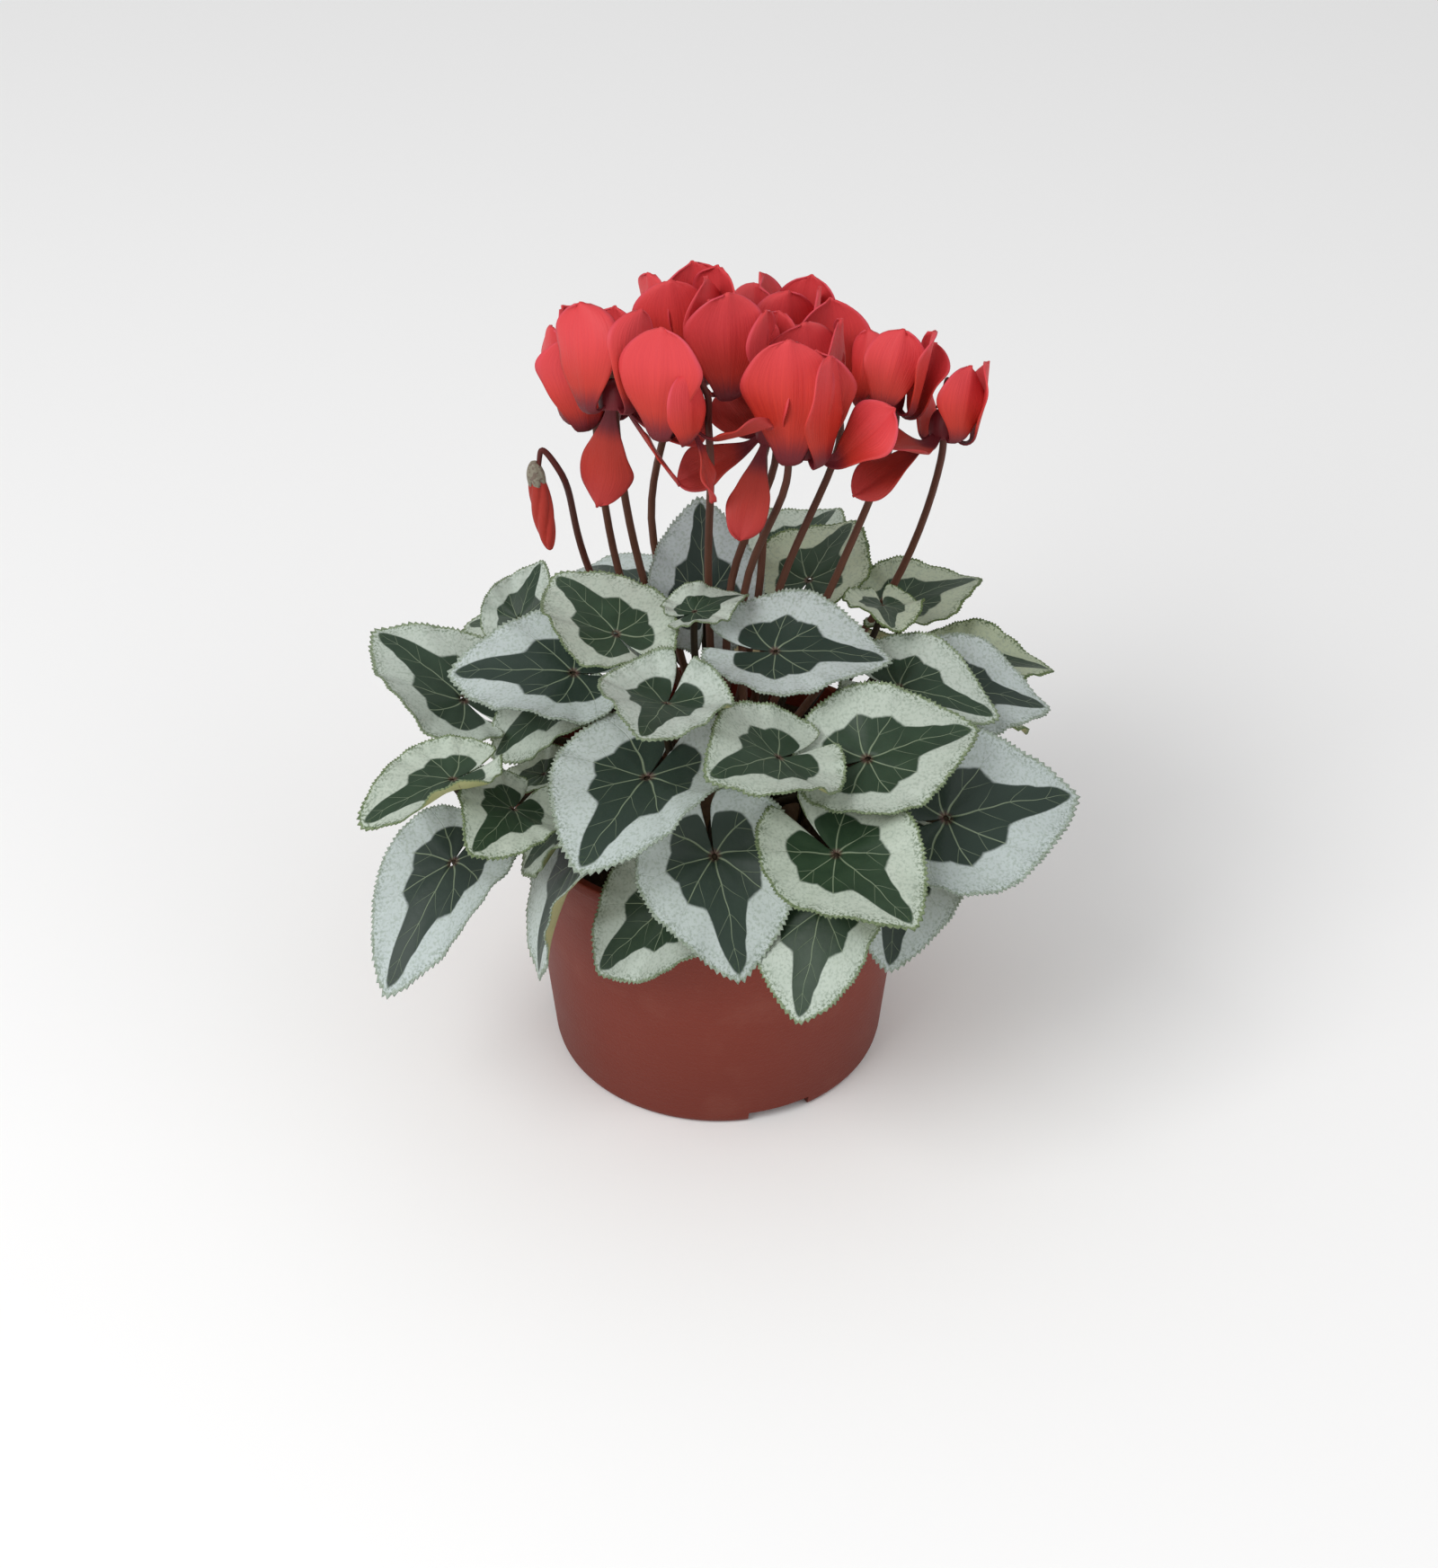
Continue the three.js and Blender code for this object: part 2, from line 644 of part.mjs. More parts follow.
// The stalk rises from the crown, stands upright beside the flower and hooks over to the calyx.
function scapeCurve(bloom, frame, root, belly) {
  const side = heading(bloom.stalkSide, 0);
  const seat = frame.mouth.clone().addScaledVector(frame.up, THROAT.height + CALYX.gap);
  const beside = (share, height) =>
    seat.clone().addScaledVector(side, SCAPE.side * share).addScaledVector(UP, height);
  return new THREE.CatmullRomCurve3(
    [
      root.point,
      root.point.clone().addScaledVector(root.out, 9),
      belly,
      beside(1.08, -22),
      beside(1, -8),
      beside(0.95, 1.5),
      beside(0.5, 1.5).addScaledVector(frame.up, 5),
      seat.clone().addScaledVector(frame.up, CALYX.height + 2.2),
      seat.clone().addScaledVector(frame.up, CALYX.height * 0.35),
    ],
    false,
    "centripetal",
  );
}

// The calyx: a low star of five sepals that sits on the corolla tube.
function calyxSolid(frame) {
  const { radius, height, teeth, gap } = CALYX;
  const outline = new THREE.Shape();
  for (let i = 0; i < 2 * teeth; i++) {
    const reach = i % 2 ? radius * 0.55 : radius;
    const turn = (Math.PI * i) / teeth;
    outline[i ? "lineTo" : "moveTo"](reach * Math.cos(turn), reach * Math.sin(turn));
  }
  outline.closePath();
  const star = new THREE.ExtrudeGeometry(outline, { depth: height, bevelEnabled: false });
  const place = new THREE.Matrix4().makeBasis(frame.out, frame.across, frame.up);
  place.setPosition(frame.mouth.clone().addScaledVector(frame.up, THROAT.height + gap));
  return solidOf(star).transform(place.elements);
}

function scapeSolid(bloom, frame, root, belly) {
  return stalk(scapeCurve(bloom, frame, root, belly), SCAPE).add(calyxSolid(frame));
}

// Each bloom: its mouth, the side its stalk rises on, which way and how far it leans, and the belly, the point
// where its stalk comes up through the leaves. Each petal: the side it springs from, the slope it turns to, and
// where they aren't the usual ones its twist and its size.
const BLOOMS = [
  {
    name: "1",
    mouth: [-36, 9, 228],
    stalkSide: 176,
    lean: [-150, 10],
    belly: [-31, 29, 159],
    petals: [[-140, 86, 34], [-77, 86, 34, 0.95], [-14, 86, 34, 0.95], [50, 86, 34, 0.9], [113, 86, 34]],
  },
  {
    name: "2",
    mouth: [-29.5, -14.5, 245],
    stalkSide: 180,
    lean: [180, 28],
    belly: [-24, 27, 161],
    petals: [
      [-55, 84, 20, 0.95], [38, 84, 20, 0.9], [96, -16, 60, 0.66],
      [138, -48, 40, 0.85], [-168, -60, 40, 0.95],
    ],
  },
  {
    name: "3",
    mouth: [-9.5, -24, 243],
    stalkSide: 104,
    lean: [-170, 14],
    belly: [-3, 12, 168],
    petals: [
      [-140, 84, 32, 0.8], [-50, 90, 34, 1], [12, 92, 52, 0.66],
      [46, -80, -30, 0.55], [80, 14, -28, 0.62],
    ],
  },
  {
    name: "4",
    mouth: [15.5, 0, 226],
    stalkSide: 170,
    lean: [0, 0],
    belly: [4, 14, 165],
    petals: [
      [-140, 20, -20, 0.6], [-90, -30, -40, 0.75], [-30, -66, -20, 0.78],
      [46, 84, 32, 0.56], [115, 80, 32, 0.6],
    ],
  },
  {
    name: "5",
    mouth: [6, 9, 238],
    stalkSide: 112,
    lean: [180, 8],
    belly: [13, 19, 162],
    petals: [
      [-128, 84, 32, 0.8], [-72, 40, 20, 0.8], [-18, 90, 36],
      [48, 86, 36, 0.85], [164, 86, 32, 0.7],
    ],
  },
  {
    name: "6",
    mouth: [-7, 30, 230],
    stalkSide: -124,
    lean: [-160, 14],
    belly: [-21, 44, 168],
    petals: [[-90, 86, 34], [-26, 86, 34], [38, 86, 34], [102, 86, 34], [166, 86, 34]],
  },
  {
    name: "7",
    mouth: [20, 50, 216],
    stalkSide: -164,
    lean: [170, 12],
    belly: [9, 44, 165],
    petals: [[-128, 86, 34], [-64, 86, 34], [0, 86, 34], [64, 86, 34], [128, 86, 34]],
  },
  {
    name: "8",
    mouth: [25.5, -20, 233],
    stalkSide: -136,
    lean: [180, 12],
    belly: [8, 12, 162],
    petals: [
      [-98, 88, 34, 0.86], [-36, 90, 38, 1.1], [30, 86, 38, 1],
      [80, 46, 60, 0.76], [158, 88, 32, 0.9],
    ],
  },
  {
    name: "9",
    mouth: [49, 0, 236],
    stalkSide: 170,
    lean: [160, 38],
    belly: [35, 14, 164],
    petals: [
      [-150, 84, 32, 0.7], [-80, 86, 32, 0.72], [-15, 86, 25, 0.75],
      [50, 86, 25, 0.8], [110, 84, 25, 0.75],
    ],
  },
  {
    name: "10",
    mouth: [66, 2, 225],
    stalkSide: 180,
    lean: [170, 34],
    belly: [54, 31, 150],
    petals: [
      [-75, -42, -45, 0.78], [-35, -4, -30, 0.85], [20, 84, 25, 0.72],
      [78, 84, 25, 0.78], [-145, 84, 32, 0.65],
    ],
  },
  {
    name: "11",
    mouth: [29, 22, 222],
    stalkSide: 107,
    lean: [180, 8],
    belly: [19, 16, 162],
    petals: [[-146, 86, 34, 0.8], [-84, 86, 34], [-22, 86, 34], [40, 86, 34], [156, 84, 34]],
  },
];

// The bud

const BUD_PLACE = {
  calyx: [-53, -8, 218],
  tip: [-50, -8, 194],
  apex: [-51, -8, 227],
  shoulder: [-46, -7, 219],
  belly: [-41, 26, 165],
};

// The rolled petals of the bud: a slim spindle with five folds that turn about its length.
function budSolid() {
  const { length, radius, sides, steps, lobes, twist } = BUD;
  const start = new THREE.Vector3(...BUD_PLACE.calyx);
  const axis = new THREE.Vector3(...BUD_PLACE.tip).sub(start).normalize();
  const out = new THREE.Vector3(0, -1, 0).addScaledVector(axis, axis.y).normalize();
  const across = axis.clone().cross(out);
  const points = [];
  for (let i = 0; i <= steps; i++) {
    const share = i / steps;
    const girth = radius * (0.45 + 0.55 * Math.sin(Math.PI * Math.min(1, 0.2 + 0.75 * share)));
    for (let j = 0; j < sides; j++) {
      const turn = (2 * Math.PI * j) / sides + rad(twist * share);
      const r = girth * (j % (sides / lobes) ? 0.74 : 1);
      points.push(
        start
          .clone()
          .addScaledVector(axis, CLEARANCE + 0.6 + share * length)
          .addScaledVector(out, r * Math.cos(turn))
          .addScaledVector(across, r * Math.sin(turn)),
      );
    }
  }
  const triangles = [];
  for (let i = 0; i < steps; i++)
    for (let j = 0; j < sides; j++) {
      const a = i * sides + j;
      const b = i * sides + ((j + 1) % sides);
      triangles.push([a, b, b + sides], [a, b + sides, a + sides]);
    }
  const last = steps * sides;
  for (let j = 1; j < sides - 1; j++) triangles.push([0, j + 1, j], [last, last + j, last + j + 1]);
  return solid(points, triangles);
}

// The bud's stalk hooks over and ends in the closed calyx.
function budScapeSolid(root) {
  const [calyx, tip, apex, shoulder, belly] = ["calyx", "tip", "apex", "shoulder", "belly"].map(
    (key) => new THREE.Vector3(...BUD_PLACE[key]),
  );
  const curve = new THREE.CatmullRomCurve3(
    [
      root.point,
      root.point.clone().addScaledVector(root.out, 9),
      belly,
      shoulder,
      apex,
      calyx.clone().lerp(apex, 0.4),
    ],
    false,
    "centripetal",
  );
  const axis = tip.clone().sub(calyx).normalize();
  const out = new THREE.Vector3(0, -1, 0).addScaledVector(axis, axis.y).normalize();
  const cup = turned(
    [
      [0, -5.2],
      [1.2, -5.2],
      [3, -2.6],
      [2.7, 0],
      [0, 0],
    ],
    8,
  );
  const place = new THREE.Matrix4().makeBasis(out, axis.clone().cross(out), axis).setPosition(calyx);
  return stalk(curve, SCAPE).add(cup.transform(place.elements));
}

// Assembly

const plant = new THREE.Group();
plant.add(node("pot", potSolid(), MATERIALS.pot));
plant.add(node("potting_soil", soilSolid(), MATERIALS.soil));
plant.add(node("corm", turned(cormProfile(0), CORM.sides), MATERIALS.corm));

for (const bloom of BLOOMS) {
  const frame = bloomFrame(bloom);
  const belly = new THREE.Vector3(...bloom.belly);
  const root = takeEye(belly);
  plant.add(node("flower_stalk_" + bloom.name, scapeSolid(bloom, frame, root, belly), MATERIALS.stalk));
  plant.add(node("bloom_" + bloom.name, bloomSolid(bloom), MATERIALS.bloom));
}
const budRoot = takeEye(new THREE.Vector3(...BUD_PLACE.belly));
plant.add(node("bud_stalk", budScapeSolid(budRoot), MATERIALS.stalk));
plant.add(node("bud_petals", budSolid(), MATERIALS.bloom));

for (const { name, leaves } of [...LEAVES.map((leaf) => ({ name: leaf.name, leaves: [leaf] })), ...SPRAYS]) {
  const middle = leaves
    .reduce((sum, leaf) => sum.add(spot(leaf.azimuth, leaf.reach, leaf.height)), new THREE.Vector3())
    .divideScalar(leaves.length);
  const root = takeEye(middle);
  plant.add(node(name, join(leaves.map((leaf) => leafSolid(leaf, root))), MATERIALS.leaf));
}

export default plant;
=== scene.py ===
"""A silver-leaved cyclamen in its nursery pot, dressed for its render.

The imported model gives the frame. Every node is replaced by a finer surface of the same shape in the same
place, worked out from the same driving dimensions, and gets a procedural finish. Only the petals are a
little wider than in the frame, the stalks thinner toward the flower and the blades a little smaller.
Lengths are millimetres until a mesh is made. Azimuths run from the viewer's side, 0 at the front and +90 at
the right; a slope is above the horizon.
"""

import logging
import math
from dataclasses import dataclass
from enum import Enum

import bpy
import numpy as np
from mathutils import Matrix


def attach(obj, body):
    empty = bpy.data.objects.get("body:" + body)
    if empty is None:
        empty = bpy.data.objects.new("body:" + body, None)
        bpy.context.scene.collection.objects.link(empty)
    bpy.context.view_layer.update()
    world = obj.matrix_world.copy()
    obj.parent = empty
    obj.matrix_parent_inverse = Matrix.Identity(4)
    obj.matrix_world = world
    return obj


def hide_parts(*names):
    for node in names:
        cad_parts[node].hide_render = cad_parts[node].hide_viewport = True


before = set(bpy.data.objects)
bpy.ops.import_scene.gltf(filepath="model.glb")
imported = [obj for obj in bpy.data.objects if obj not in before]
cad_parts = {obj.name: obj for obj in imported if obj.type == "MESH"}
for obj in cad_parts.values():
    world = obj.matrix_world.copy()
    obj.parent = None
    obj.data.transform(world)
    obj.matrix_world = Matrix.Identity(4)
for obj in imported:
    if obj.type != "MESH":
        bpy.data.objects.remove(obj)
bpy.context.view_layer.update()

logging.basicConfig(level=logging.INFO, format="%(message)s")
LOG = logging.getLogger("cyclamen")

MM = 0.001
UP = np.array([0.0, 0.0, 1.0])

# The pot, in the driving dimensions of the frame.
CLEARANCE = 0.3
SHARP_ANGLE = 38.0
POT_HEIGHT = 98.0
POT_RIM_RADIUS = 65.0
POT_BASE_RADIUS = 54.5
POT_WALL = 1.8
POT_FLOOR = 2.0
POT_LIP = 1.6
POT_LIP_HEIGHT = 5.0
POT_BEVEL = 2.0
NOTCH_AZIMUTH = 21.5
NOTCH_COUNT = 3
NOTCH_WIDTH = 21.0
NOTCH_DEPTH = 11.0
NOTCH_HEIGHT = 4.2
NOTCH_ROOF = 1.8

# The soil, with the height, size and seed of each ripple of its crumbs, and the corm with its eyes.
SOIL_LEVEL = 87.0
CRUMBS = ((1.0, 9.0, 1), (0.7, 3.0, 2), (0.5, 1.3, 3))
CORM_RADIUS = 27.0
CORM_HALF_HEIGHT = 14.0
CORM_MIDDLE = 84.0
CROWN_EYES = 58
CROWN_REACH = 22.0
CROWN_SPIRAL = 137.508
CROWN_CENTRE = 98.0

# The leaves: angles in degrees from the tip, heights of the waves, shares of a petiole's span.
BLADE_THICKNESS = 0.5
BLADE_SCALE = 0.965
TOOTH_DEPTH = 0.024
RUFFLE_HEIGHT = 0.35
QUILT_HEIGHT = 0.8
NOTCH_ANGLE = 173.0
VEIN_SPACING = 45.0
VEINS_A_SIDE = 3
WAVE_COUNT = 4
WAVE_HEIGHT = 1.6
PETIOLE_RADIUS = 1.3
PETIOLE_RISE = 0.3
PETIOLE_DROP = 0.36
PETIOLE_ARCH = 6.0

# The flowers: stalk, tube, calyx and petals.
SCAPE_RADIUS = 1.4
SCAPE_SIDE = 7.4
SCAPE_TAPER = 0.52
SCAPE_SIDES = 12
FOOT_DEPTH = 1.2
FOOT_RISE = 9.0
THROAT_HEIGHT = 8.4
CALYX_HEIGHT = 1.7
CALYX_GAP = 0.35
PETAL_LENGTH = 38.0
PETAL_WIDTH = 24.5
PETAL_THICKNESS = 0.5
PETAL_FOOT = 3.4
PETAL_FOOT_HEIGHT = 0.6
PETAL_FIRST_SLOPE = -50.0
PETAL_BEND = 9.0
PETAL_BOW = 6.0
PETAL_CUP = 0.16
PETAL_TIP_START = 0.66
PETAL_CLAW_SHARE = 0.17
PETAL_WIDEST = 0.72
PETAL_NICK = 0.035
PETAL_WAVE = 1.3
PETAL_KEEL = 0.6
PETAL_POINT = 0.8
UPRIGHT_SLOPE = 30.0

# The bud.
BUD_LENGTH = 25.0
BUD_RADIUS = 3.3
BUD_TWIST = 150.0

# Colours, as linear red, green and blue.
SILVER_LOW = (0.38, 0.45, 0.36)
SILVER_HIGH = (0.53, 0.59, 0.51)
SILVER_BLUE = (0.46, 0.52, 0.54)
SILVER_AGED = (0.35, 0.40, 0.19)
SILVER_MOTTLE = (0.26, 0.32, 0.26)
GREEN_LOW = (0.010, 0.028, 0.012)
GREEN_HIGH = (0.030, 0.062, 0.030)
GREEN_BLUE = (0.017, 0.030, 0.027)
VEIN_ON_SILVER = (0.30, 0.37, 0.28)
VEIN_ON_GREEN = (0.30, 0.37, 0.24)
RIM_GREEN = (0.12, 0.17, 0.055)
RING_GREEN = (0.055, 0.095, 0.035)
PETIOLE_BLUSH = (0.085, 0.03, 0.022)
UNDER_LOW = (0.27, 0.31, 0.11)
UNDER_HIGH = (0.43, 0.42, 0.20)
UNDER_TAN = (0.40, 0.30, 0.17)
UNDER_DARK = (0.16, 0.19, 0.09)
UNDER_VEIN = (0.22, 0.14, 0.07)
UNDER_RIM = (0.14, 0.19, 0.06)
PETAL_LOW = (0.45, 0.018, 0.010)
PETAL_HIGH = (0.66, 0.046, 0.020)
# Pinker tone high up and at the edges of the petals, partly a painted highlight.
PETAL_TOP_TONE_AND_HIGHLIGHT = (0.68, 0.062, 0.085)
PETAL_EDGE_TONE_AND_HIGHLIGHT = (0.70, 0.11, 0.19)
PETAL_CLAW = (0.31, 0.020, 0.012)
# Painted shade: the darker red of petals that hang down.
PETAL_HANGING_SHADE = (0.27, 0.022, 0.014)
PETAL_FOOT_SPOT = (0.085, 0.006, 0.014)
STALK_LOW = (0.038, 0.007, 0.006)
STALK_HIGH = (0.115, 0.021, 0.016)
STALK_FOOT = (0.20, 0.12, 0.07)
# Petiole colours, darkened as painted shade of the gaps between the leaves.
PETIOLE_SHADED_LOW = (0.012, 0.009, 0.006)
PETIOLE_SHADED_HIGH = (0.046, 0.032, 0.016)
CALYX_LOW = (0.15, 0.13, 0.09)
CALYX_HIGH = (0.26, 0.24, 0.18)
CALYX_FLECK = (0.09, 0.04, 0.03)
POT_LOW = (0.175, 0.027, 0.014)
POT_HIGH = (0.212, 0.034, 0.019)
POT_GRAIN = (0.28, 0.075, 0.045)
POT_DUST = (0.29, 0.095, 0.065)
# Painted shade at the pot's foot.
POT_FOOT_SHADE = (0.10, 0.015, 0.008)
SOIL_LOW = (0.012, 0.008, 0.005)
SOIL_HIGH = (0.075, 0.048, 0.030)
SOIL_FIBRE = (0.20, 0.13, 0.08)
CORK_LOW = (0.05, 0.028, 0.018)
CORK_HIGH = (0.19, 0.115, 0.07)
FLOOR_COLOUR = (0.92, 0.92, 0.92)

# Relief of every finish in metres, gloss of every coat, rings a metre, and the blade's vein pattern.
RELIEF_DEPTH = 0.0006
COAT_ROUGHNESS = 0.35
MOULD_RINGS = 2600.0
SIDE_VEIN_STEP = 0.12
DARK_SHARE = 0.54

# The camera, solved from the pot's rim and base, and the stage: metres and degrees.
CAMERA_PLACE = (0.0003, -0.7361, 0.6769)
CAMERA_TILT = 51.8
CAMERA_LENS = 67.38
FLOOR_REACH = 6.0
LAMP_AIM = (0.0, 0.0, 0.15)
LAMPS = (("key", (-0.9, -0.85, 1.4), 1.0, 18.0), ("fill", (1.1, -0.8, 0.9), 1.2, 3.5))
WORLD_STRENGTH = 0.62


class Slot(Enum):
    """Names of material slots."""

    POT = "pot"
    SOIL = "soil"
    CORM = "corm"
    LEAF = "leaf"
    STALK = "stalk"
    BLOOM = "bloom"


@dataclass(frozen=True)
class Leaf:
    """One leaf: where its petiole joins the blade, where its tip points, its size and its own curl."""

    azimuth: float
    reach: float
    height: float
    heading: float
    slope: float
    length: float
    roll: float = 0.0
    width: float = 1.0
    back: float = 1.15
    lobes: float = 34.0
    droop: float = 24.0
    curl: tuple = (24.0, 24.0)
    bow: float = 0.0
    trail: float = 0.1


@dataclass(frozen=True)
class Petal:
    """One petal: the side it springs from, the slope that it turns to, its twist and its size."""

    azimuth: float
    slope: float = 86.0
    twist: float = 34.0
    size: float = 1.0


@dataclass(frozen=True)
class Bloom:
    """One flower: its mouth, its stalk's side, its lean, the belly of its stalk and its petals' values."""

    name: str
    mouth: tuple
    stalk_side: float
    lean: tuple
    belly: tuple
    petals: tuple


# The leaves whose silver is bluer or yellower than the rest, and the moods that tint them.
BLUISH = (
    "leaf_left",
    "leaf_top_right",
    "leaf_large_front",
    "leaf_front",
    "leaf_skirt_left",
    "leaf_skirt_front_left",
    "leaf_wide_right",
    "leaf_far_right",
    "leaf_back_upright",
    "leaf_skirt_right",
    "leaves_back",
)
YELLOWISH = ("leaf_upper_right", "leaf_rear_top", "leaf_small_top", "leaves_back_right")
BLUISH_MOODS = (0.7, 1.0)
GREENISH_MOODS = (0.0, 0.35)
YELLOWISH_MOODS = (-0.8, -0.4)

# The leaves, by node: a spray of several leaves is one node.
LEAVES = {
    "leaf_top_right": (Leaf(56, 21, 158, 79, -1, 37, roll=12, back=1.3),),
    "leaf_top_middle": (Leaf(-62, 8, 167, 122, -2, 20, width=0.9),),
    "leaf_top_left": (Leaf(-75, 32, 162, -145, 2, 37, width=0.92, bow=-2.5),),
    "leaf_heart": (Leaf(-18, 49, 164, -13, 15, 31, roll=-6, back=1.5, lobes=75, width=1.1, trail=0.3),),
    "leaf_back_upright": (Leaf(-171, 28, 150, -176, 52, 34, width=0.96),),
    "leaf_middle_right": (Leaf(18, 57, 150, -41, 16, 33, roll=-18, back=1.45, lobes=29, width=1.06, bow=-3),),
    "leaf_right": (Leaf(46, 62, 141, 104, 5, 37, roll=20, back=1.35, lobes=24, width=1.08, bow=5, droop=22),),
    "leaf_left": (Leaf(-80, 45, 147, -97, -8, 42, roll=-12, trail=0.3, bow=6),),
    "leaf_folded_left": (Leaf(-81, 48, 139, -73, -42, 33, roll=-10, back=0.9, lobes=8, bow=-4, droop=18),),
    "leaf_large_front": (
        Leaf(-23, 54, 139, -31, -13, 42, roll=5, back=1.5, lobes=24, width=1.12, bow=-4, droop=22),
    ),
    "leaf_far_right": (Leaf(90, 73, 135, 92, -18, 34, roll=14, back=1.3),),
    "leaf_front_right": (
        Leaf(27, 77, 125, 37, -6, 38, roll=11, back=1.45, lobes=30, width=1.1, bow=4, droop=12, trail=0.25),
    ),
    "leaf_front": (
        Leaf(-1, 62, 119, 16, -46, 40, roll=3, back=1.35, lobes=63, width=1.08, bow=-3, droop=28),
    ),
    "leaf_low_left": (Leaf(-51, 79, 127, -19, 4, 29, roll=-22, back=1.2, lobes=24, bow=12, droop=27),),
    "leaf_front_left": (Leaf(-42, 62, 124, -89, -53, 32, roll=-1, lobes=-9, bow=-8, droop=15),),
    "leaf_far_left": (
        Leaf(-58, 93, 138, -59, -9, 33, roll=1, back=1.1, lobes=34, width=0.9, bow=7, curl=(60, 24)),
    ),
    "leaf_back_left": (Leaf(-93, 80, 128, -130, 12, 42, bow=6, width=0.92),),
    "leaf_wide_right": (Leaf(56, 83, 121, 104, -5, 46, roll=30, back=1.2, width=1.05, bow=-5),),
    "leaf_upper_right": (Leaf(123, 70, 141, 118, 0, 31, bow=6),),
    "leaf_small_top": (Leaf(108, 54, 155, 6, 12, 22, roll=-8, lobes=45, bow=-3, droop=26),),
    "leaf_rear_top": (Leaf(143, 48, 150, 150, 10, 32),),
    "leaf_rear": (Leaf(162, 74, 139, 143, 5, 30),),
    "leaf_small_right": (
        Leaf(77, 57, 145, 74, -12, 33, roll=12, back=1.2, lobes=24, width=1.05, bow=-2, droop=25),
    ),
    "leaf_gap_left": (
        Leaf(-76, 56, 112, -93, -37, 24, roll=-1, back=1, lobes=-18, width=0.8, bow=-1, droop=28),
    ),
    "leaf_skirt_left": (Leaf(-62, 92, 101, -33, -37, 48, back=1, lobes=-35, width=0.72, bow=-2, droop=25),),
    "leaf_skirt_front_left": (
        Leaf(-37, 70, 112, -58, -65, 42, roll=28, lobes=-43, width=1.15, bow=3, droop=32),
    ),
    "leaf_skirt_front": (
        Leaf(-13, 67, 102, -75, -49, 34, roll=-23, back=1, lobes=-12, width=1.05, bow=-1, droop=25),
    ),
    "leaf_skirt_front_right": (
        Leaf(23, 79, 107, -19, -46, 36, roll=10, back=1.2, lobes=-53, width=1.05, bow=-4, droop=23),
    ),
    "leaf_skirt_right": (Leaf(52, 70, 104, -3, -46, 38, roll=-12, lobes=-14, bow=3, droop=28),),
    "leaves_back_left": (
        Leaf(-118, 72, 138, 156, 35, 22, bow=6),
        Leaf(-130, 74, 124, -126, -20, 38),
        Leaf(-136, 76, 107, -137, -50, 37, bow=-6),
    ),
    "leaves_back": (
        Leaf(-152, 58, 136, -150, -16, 38, bow=4, width=0.9),
        Leaf(178, 70, 118, 176, -26, 38, width=0.9),
        Leaf(176, 78, 103, 168, -52, 36, width=0.9),
    ),
    "leaves_back_right": (
        Leaf(108, 84, 127, 96, -12, 30, bow=-6),
        Leaf(112, 82, 112, 112, -42, 38),
        Leaf(147, 78, 109, 148, -48, 38, bow=6),
    ),
}

# The flowers.
BLOOMS = (
    Bloom(
        "1", (-36, 9, 228), 176, (-150, 10), (-31, 29, 159),
        ((-140,), (-77, 86, 34, 0.95), (-14, 86, 34, 0.95), (50, 86, 34, 0.9), (113,)),
    ),
    Bloom(
        "2", (-29.5, -14.5, 245), 180, (180, 28), (-24, 27, 161),
        (
            (-55, 84, 20, 0.95), (38, 84, 20, 0.9), (96, -16, 60, 0.66),
            (138, -48, 40, 0.85), (-168, -60, 40, 0.95),
        ),
    ),
    Bloom(
        "3", (-9.5, -24, 243), 104, (-170, 14), (-3, 12, 168),
        (
            (-140, 84, 32, 0.8), (-50, 90, 34, 1), (12, 92, 52, 0.66),
            (46, -80, -30, 0.55), (80, 14, -28, 0.62),
        ),
    ),
    Bloom(
        "4", (15.5, 0, 226), 170, (0, 0), (4, 14, 165),
        (
            (-140, 20, -20, 0.6), (-90, -30, -40, 0.75), (-30, -66, -20, 0.78),
            (46, 84, 32, 0.56), (115, 80, 32, 0.6),
        ),
    ),
    Bloom(
        "5", (6, 9, 238), 112, (180, 8), (13, 19, 162),
        ((-128, 84, 32, 0.8), (-72, 40, 20, 0.8), (-18, 90, 36), (48, 86, 36, 0.85), (164, 86, 32, 0.7)),
    ),
    Bloom(
        "6", (-7, 30, 230), -124, (-160, 14), (-21, 44, 168),
        tuple((azimuth,) for azimuth in range(-90, 180, 64)),
    ),
    Bloom(
        "7", (20, 50, 216), -164, (170, 12), (9, 44, 165),
        tuple((azimuth,) for azimuth in range(-128, 180, 64)),
    ),
    Bloom(
        "8", (25.5, -20, 233), -136, (180, 12), (8, 12, 162),
        ((-98, 88, 34, 0.86), (-36, 90, 38, 1.1), (30, 86, 38, 1), (80, 46, 60, 0.76), (158, 88, 32, 0.9)),
    ),
    Bloom(
        "9", (49, 0, 236), 170, (160, 38), (35, 14, 164),
        (
            (-150, 84, 32, 0.7), (-80, 86, 32, 0.72), (-15, 86, 25, 0.75),
            (50, 86, 25, 0.8), (110, 84, 25, 0.75),
        ),
    ),
    Bloom(
        "10", (66, 2, 225), 180, (170, 34), (54, 31, 150),
        (
            (-75, -42, -45, 0.78), (-35, -4, -30, 0.85), (20, 84, 25, 0.72),
            (78, 84, 25, 0.78), (-145, 84, 32, 0.65),
        ),
    ),
    Bloom(
        "11", (29, 22, 222), 107, (180, 8), (19, 16, 162),
        ((-146, 86, 34, 0.8), (-84,), (-22,), (40,), (156, 84, 34)),
    ),
)

# The bud: its calyx, its tip, and the apex, shoulder and belly of its stalk.
BUD_PLACE = ((-53, -8, 218), (-50, -8, 194), (-51, -8, 227), (-46, -7, 219), (-41, 26, 165))


def spot(azimuth: float, reach: float, height: float) -> np.ndarray:
    """Gives a point by its azimuth, its distance from the pot's axis and its height.

    Args:
        azimuth: degrees from the viewer's side.
        reach: distance from the axis.
        height: height over the pot's foot.

    Returns:
        The point.
    """
    turn = math.radians(azimuth)
    return np.array([reach * math.sin(turn), -reach * math.cos(turn), height])


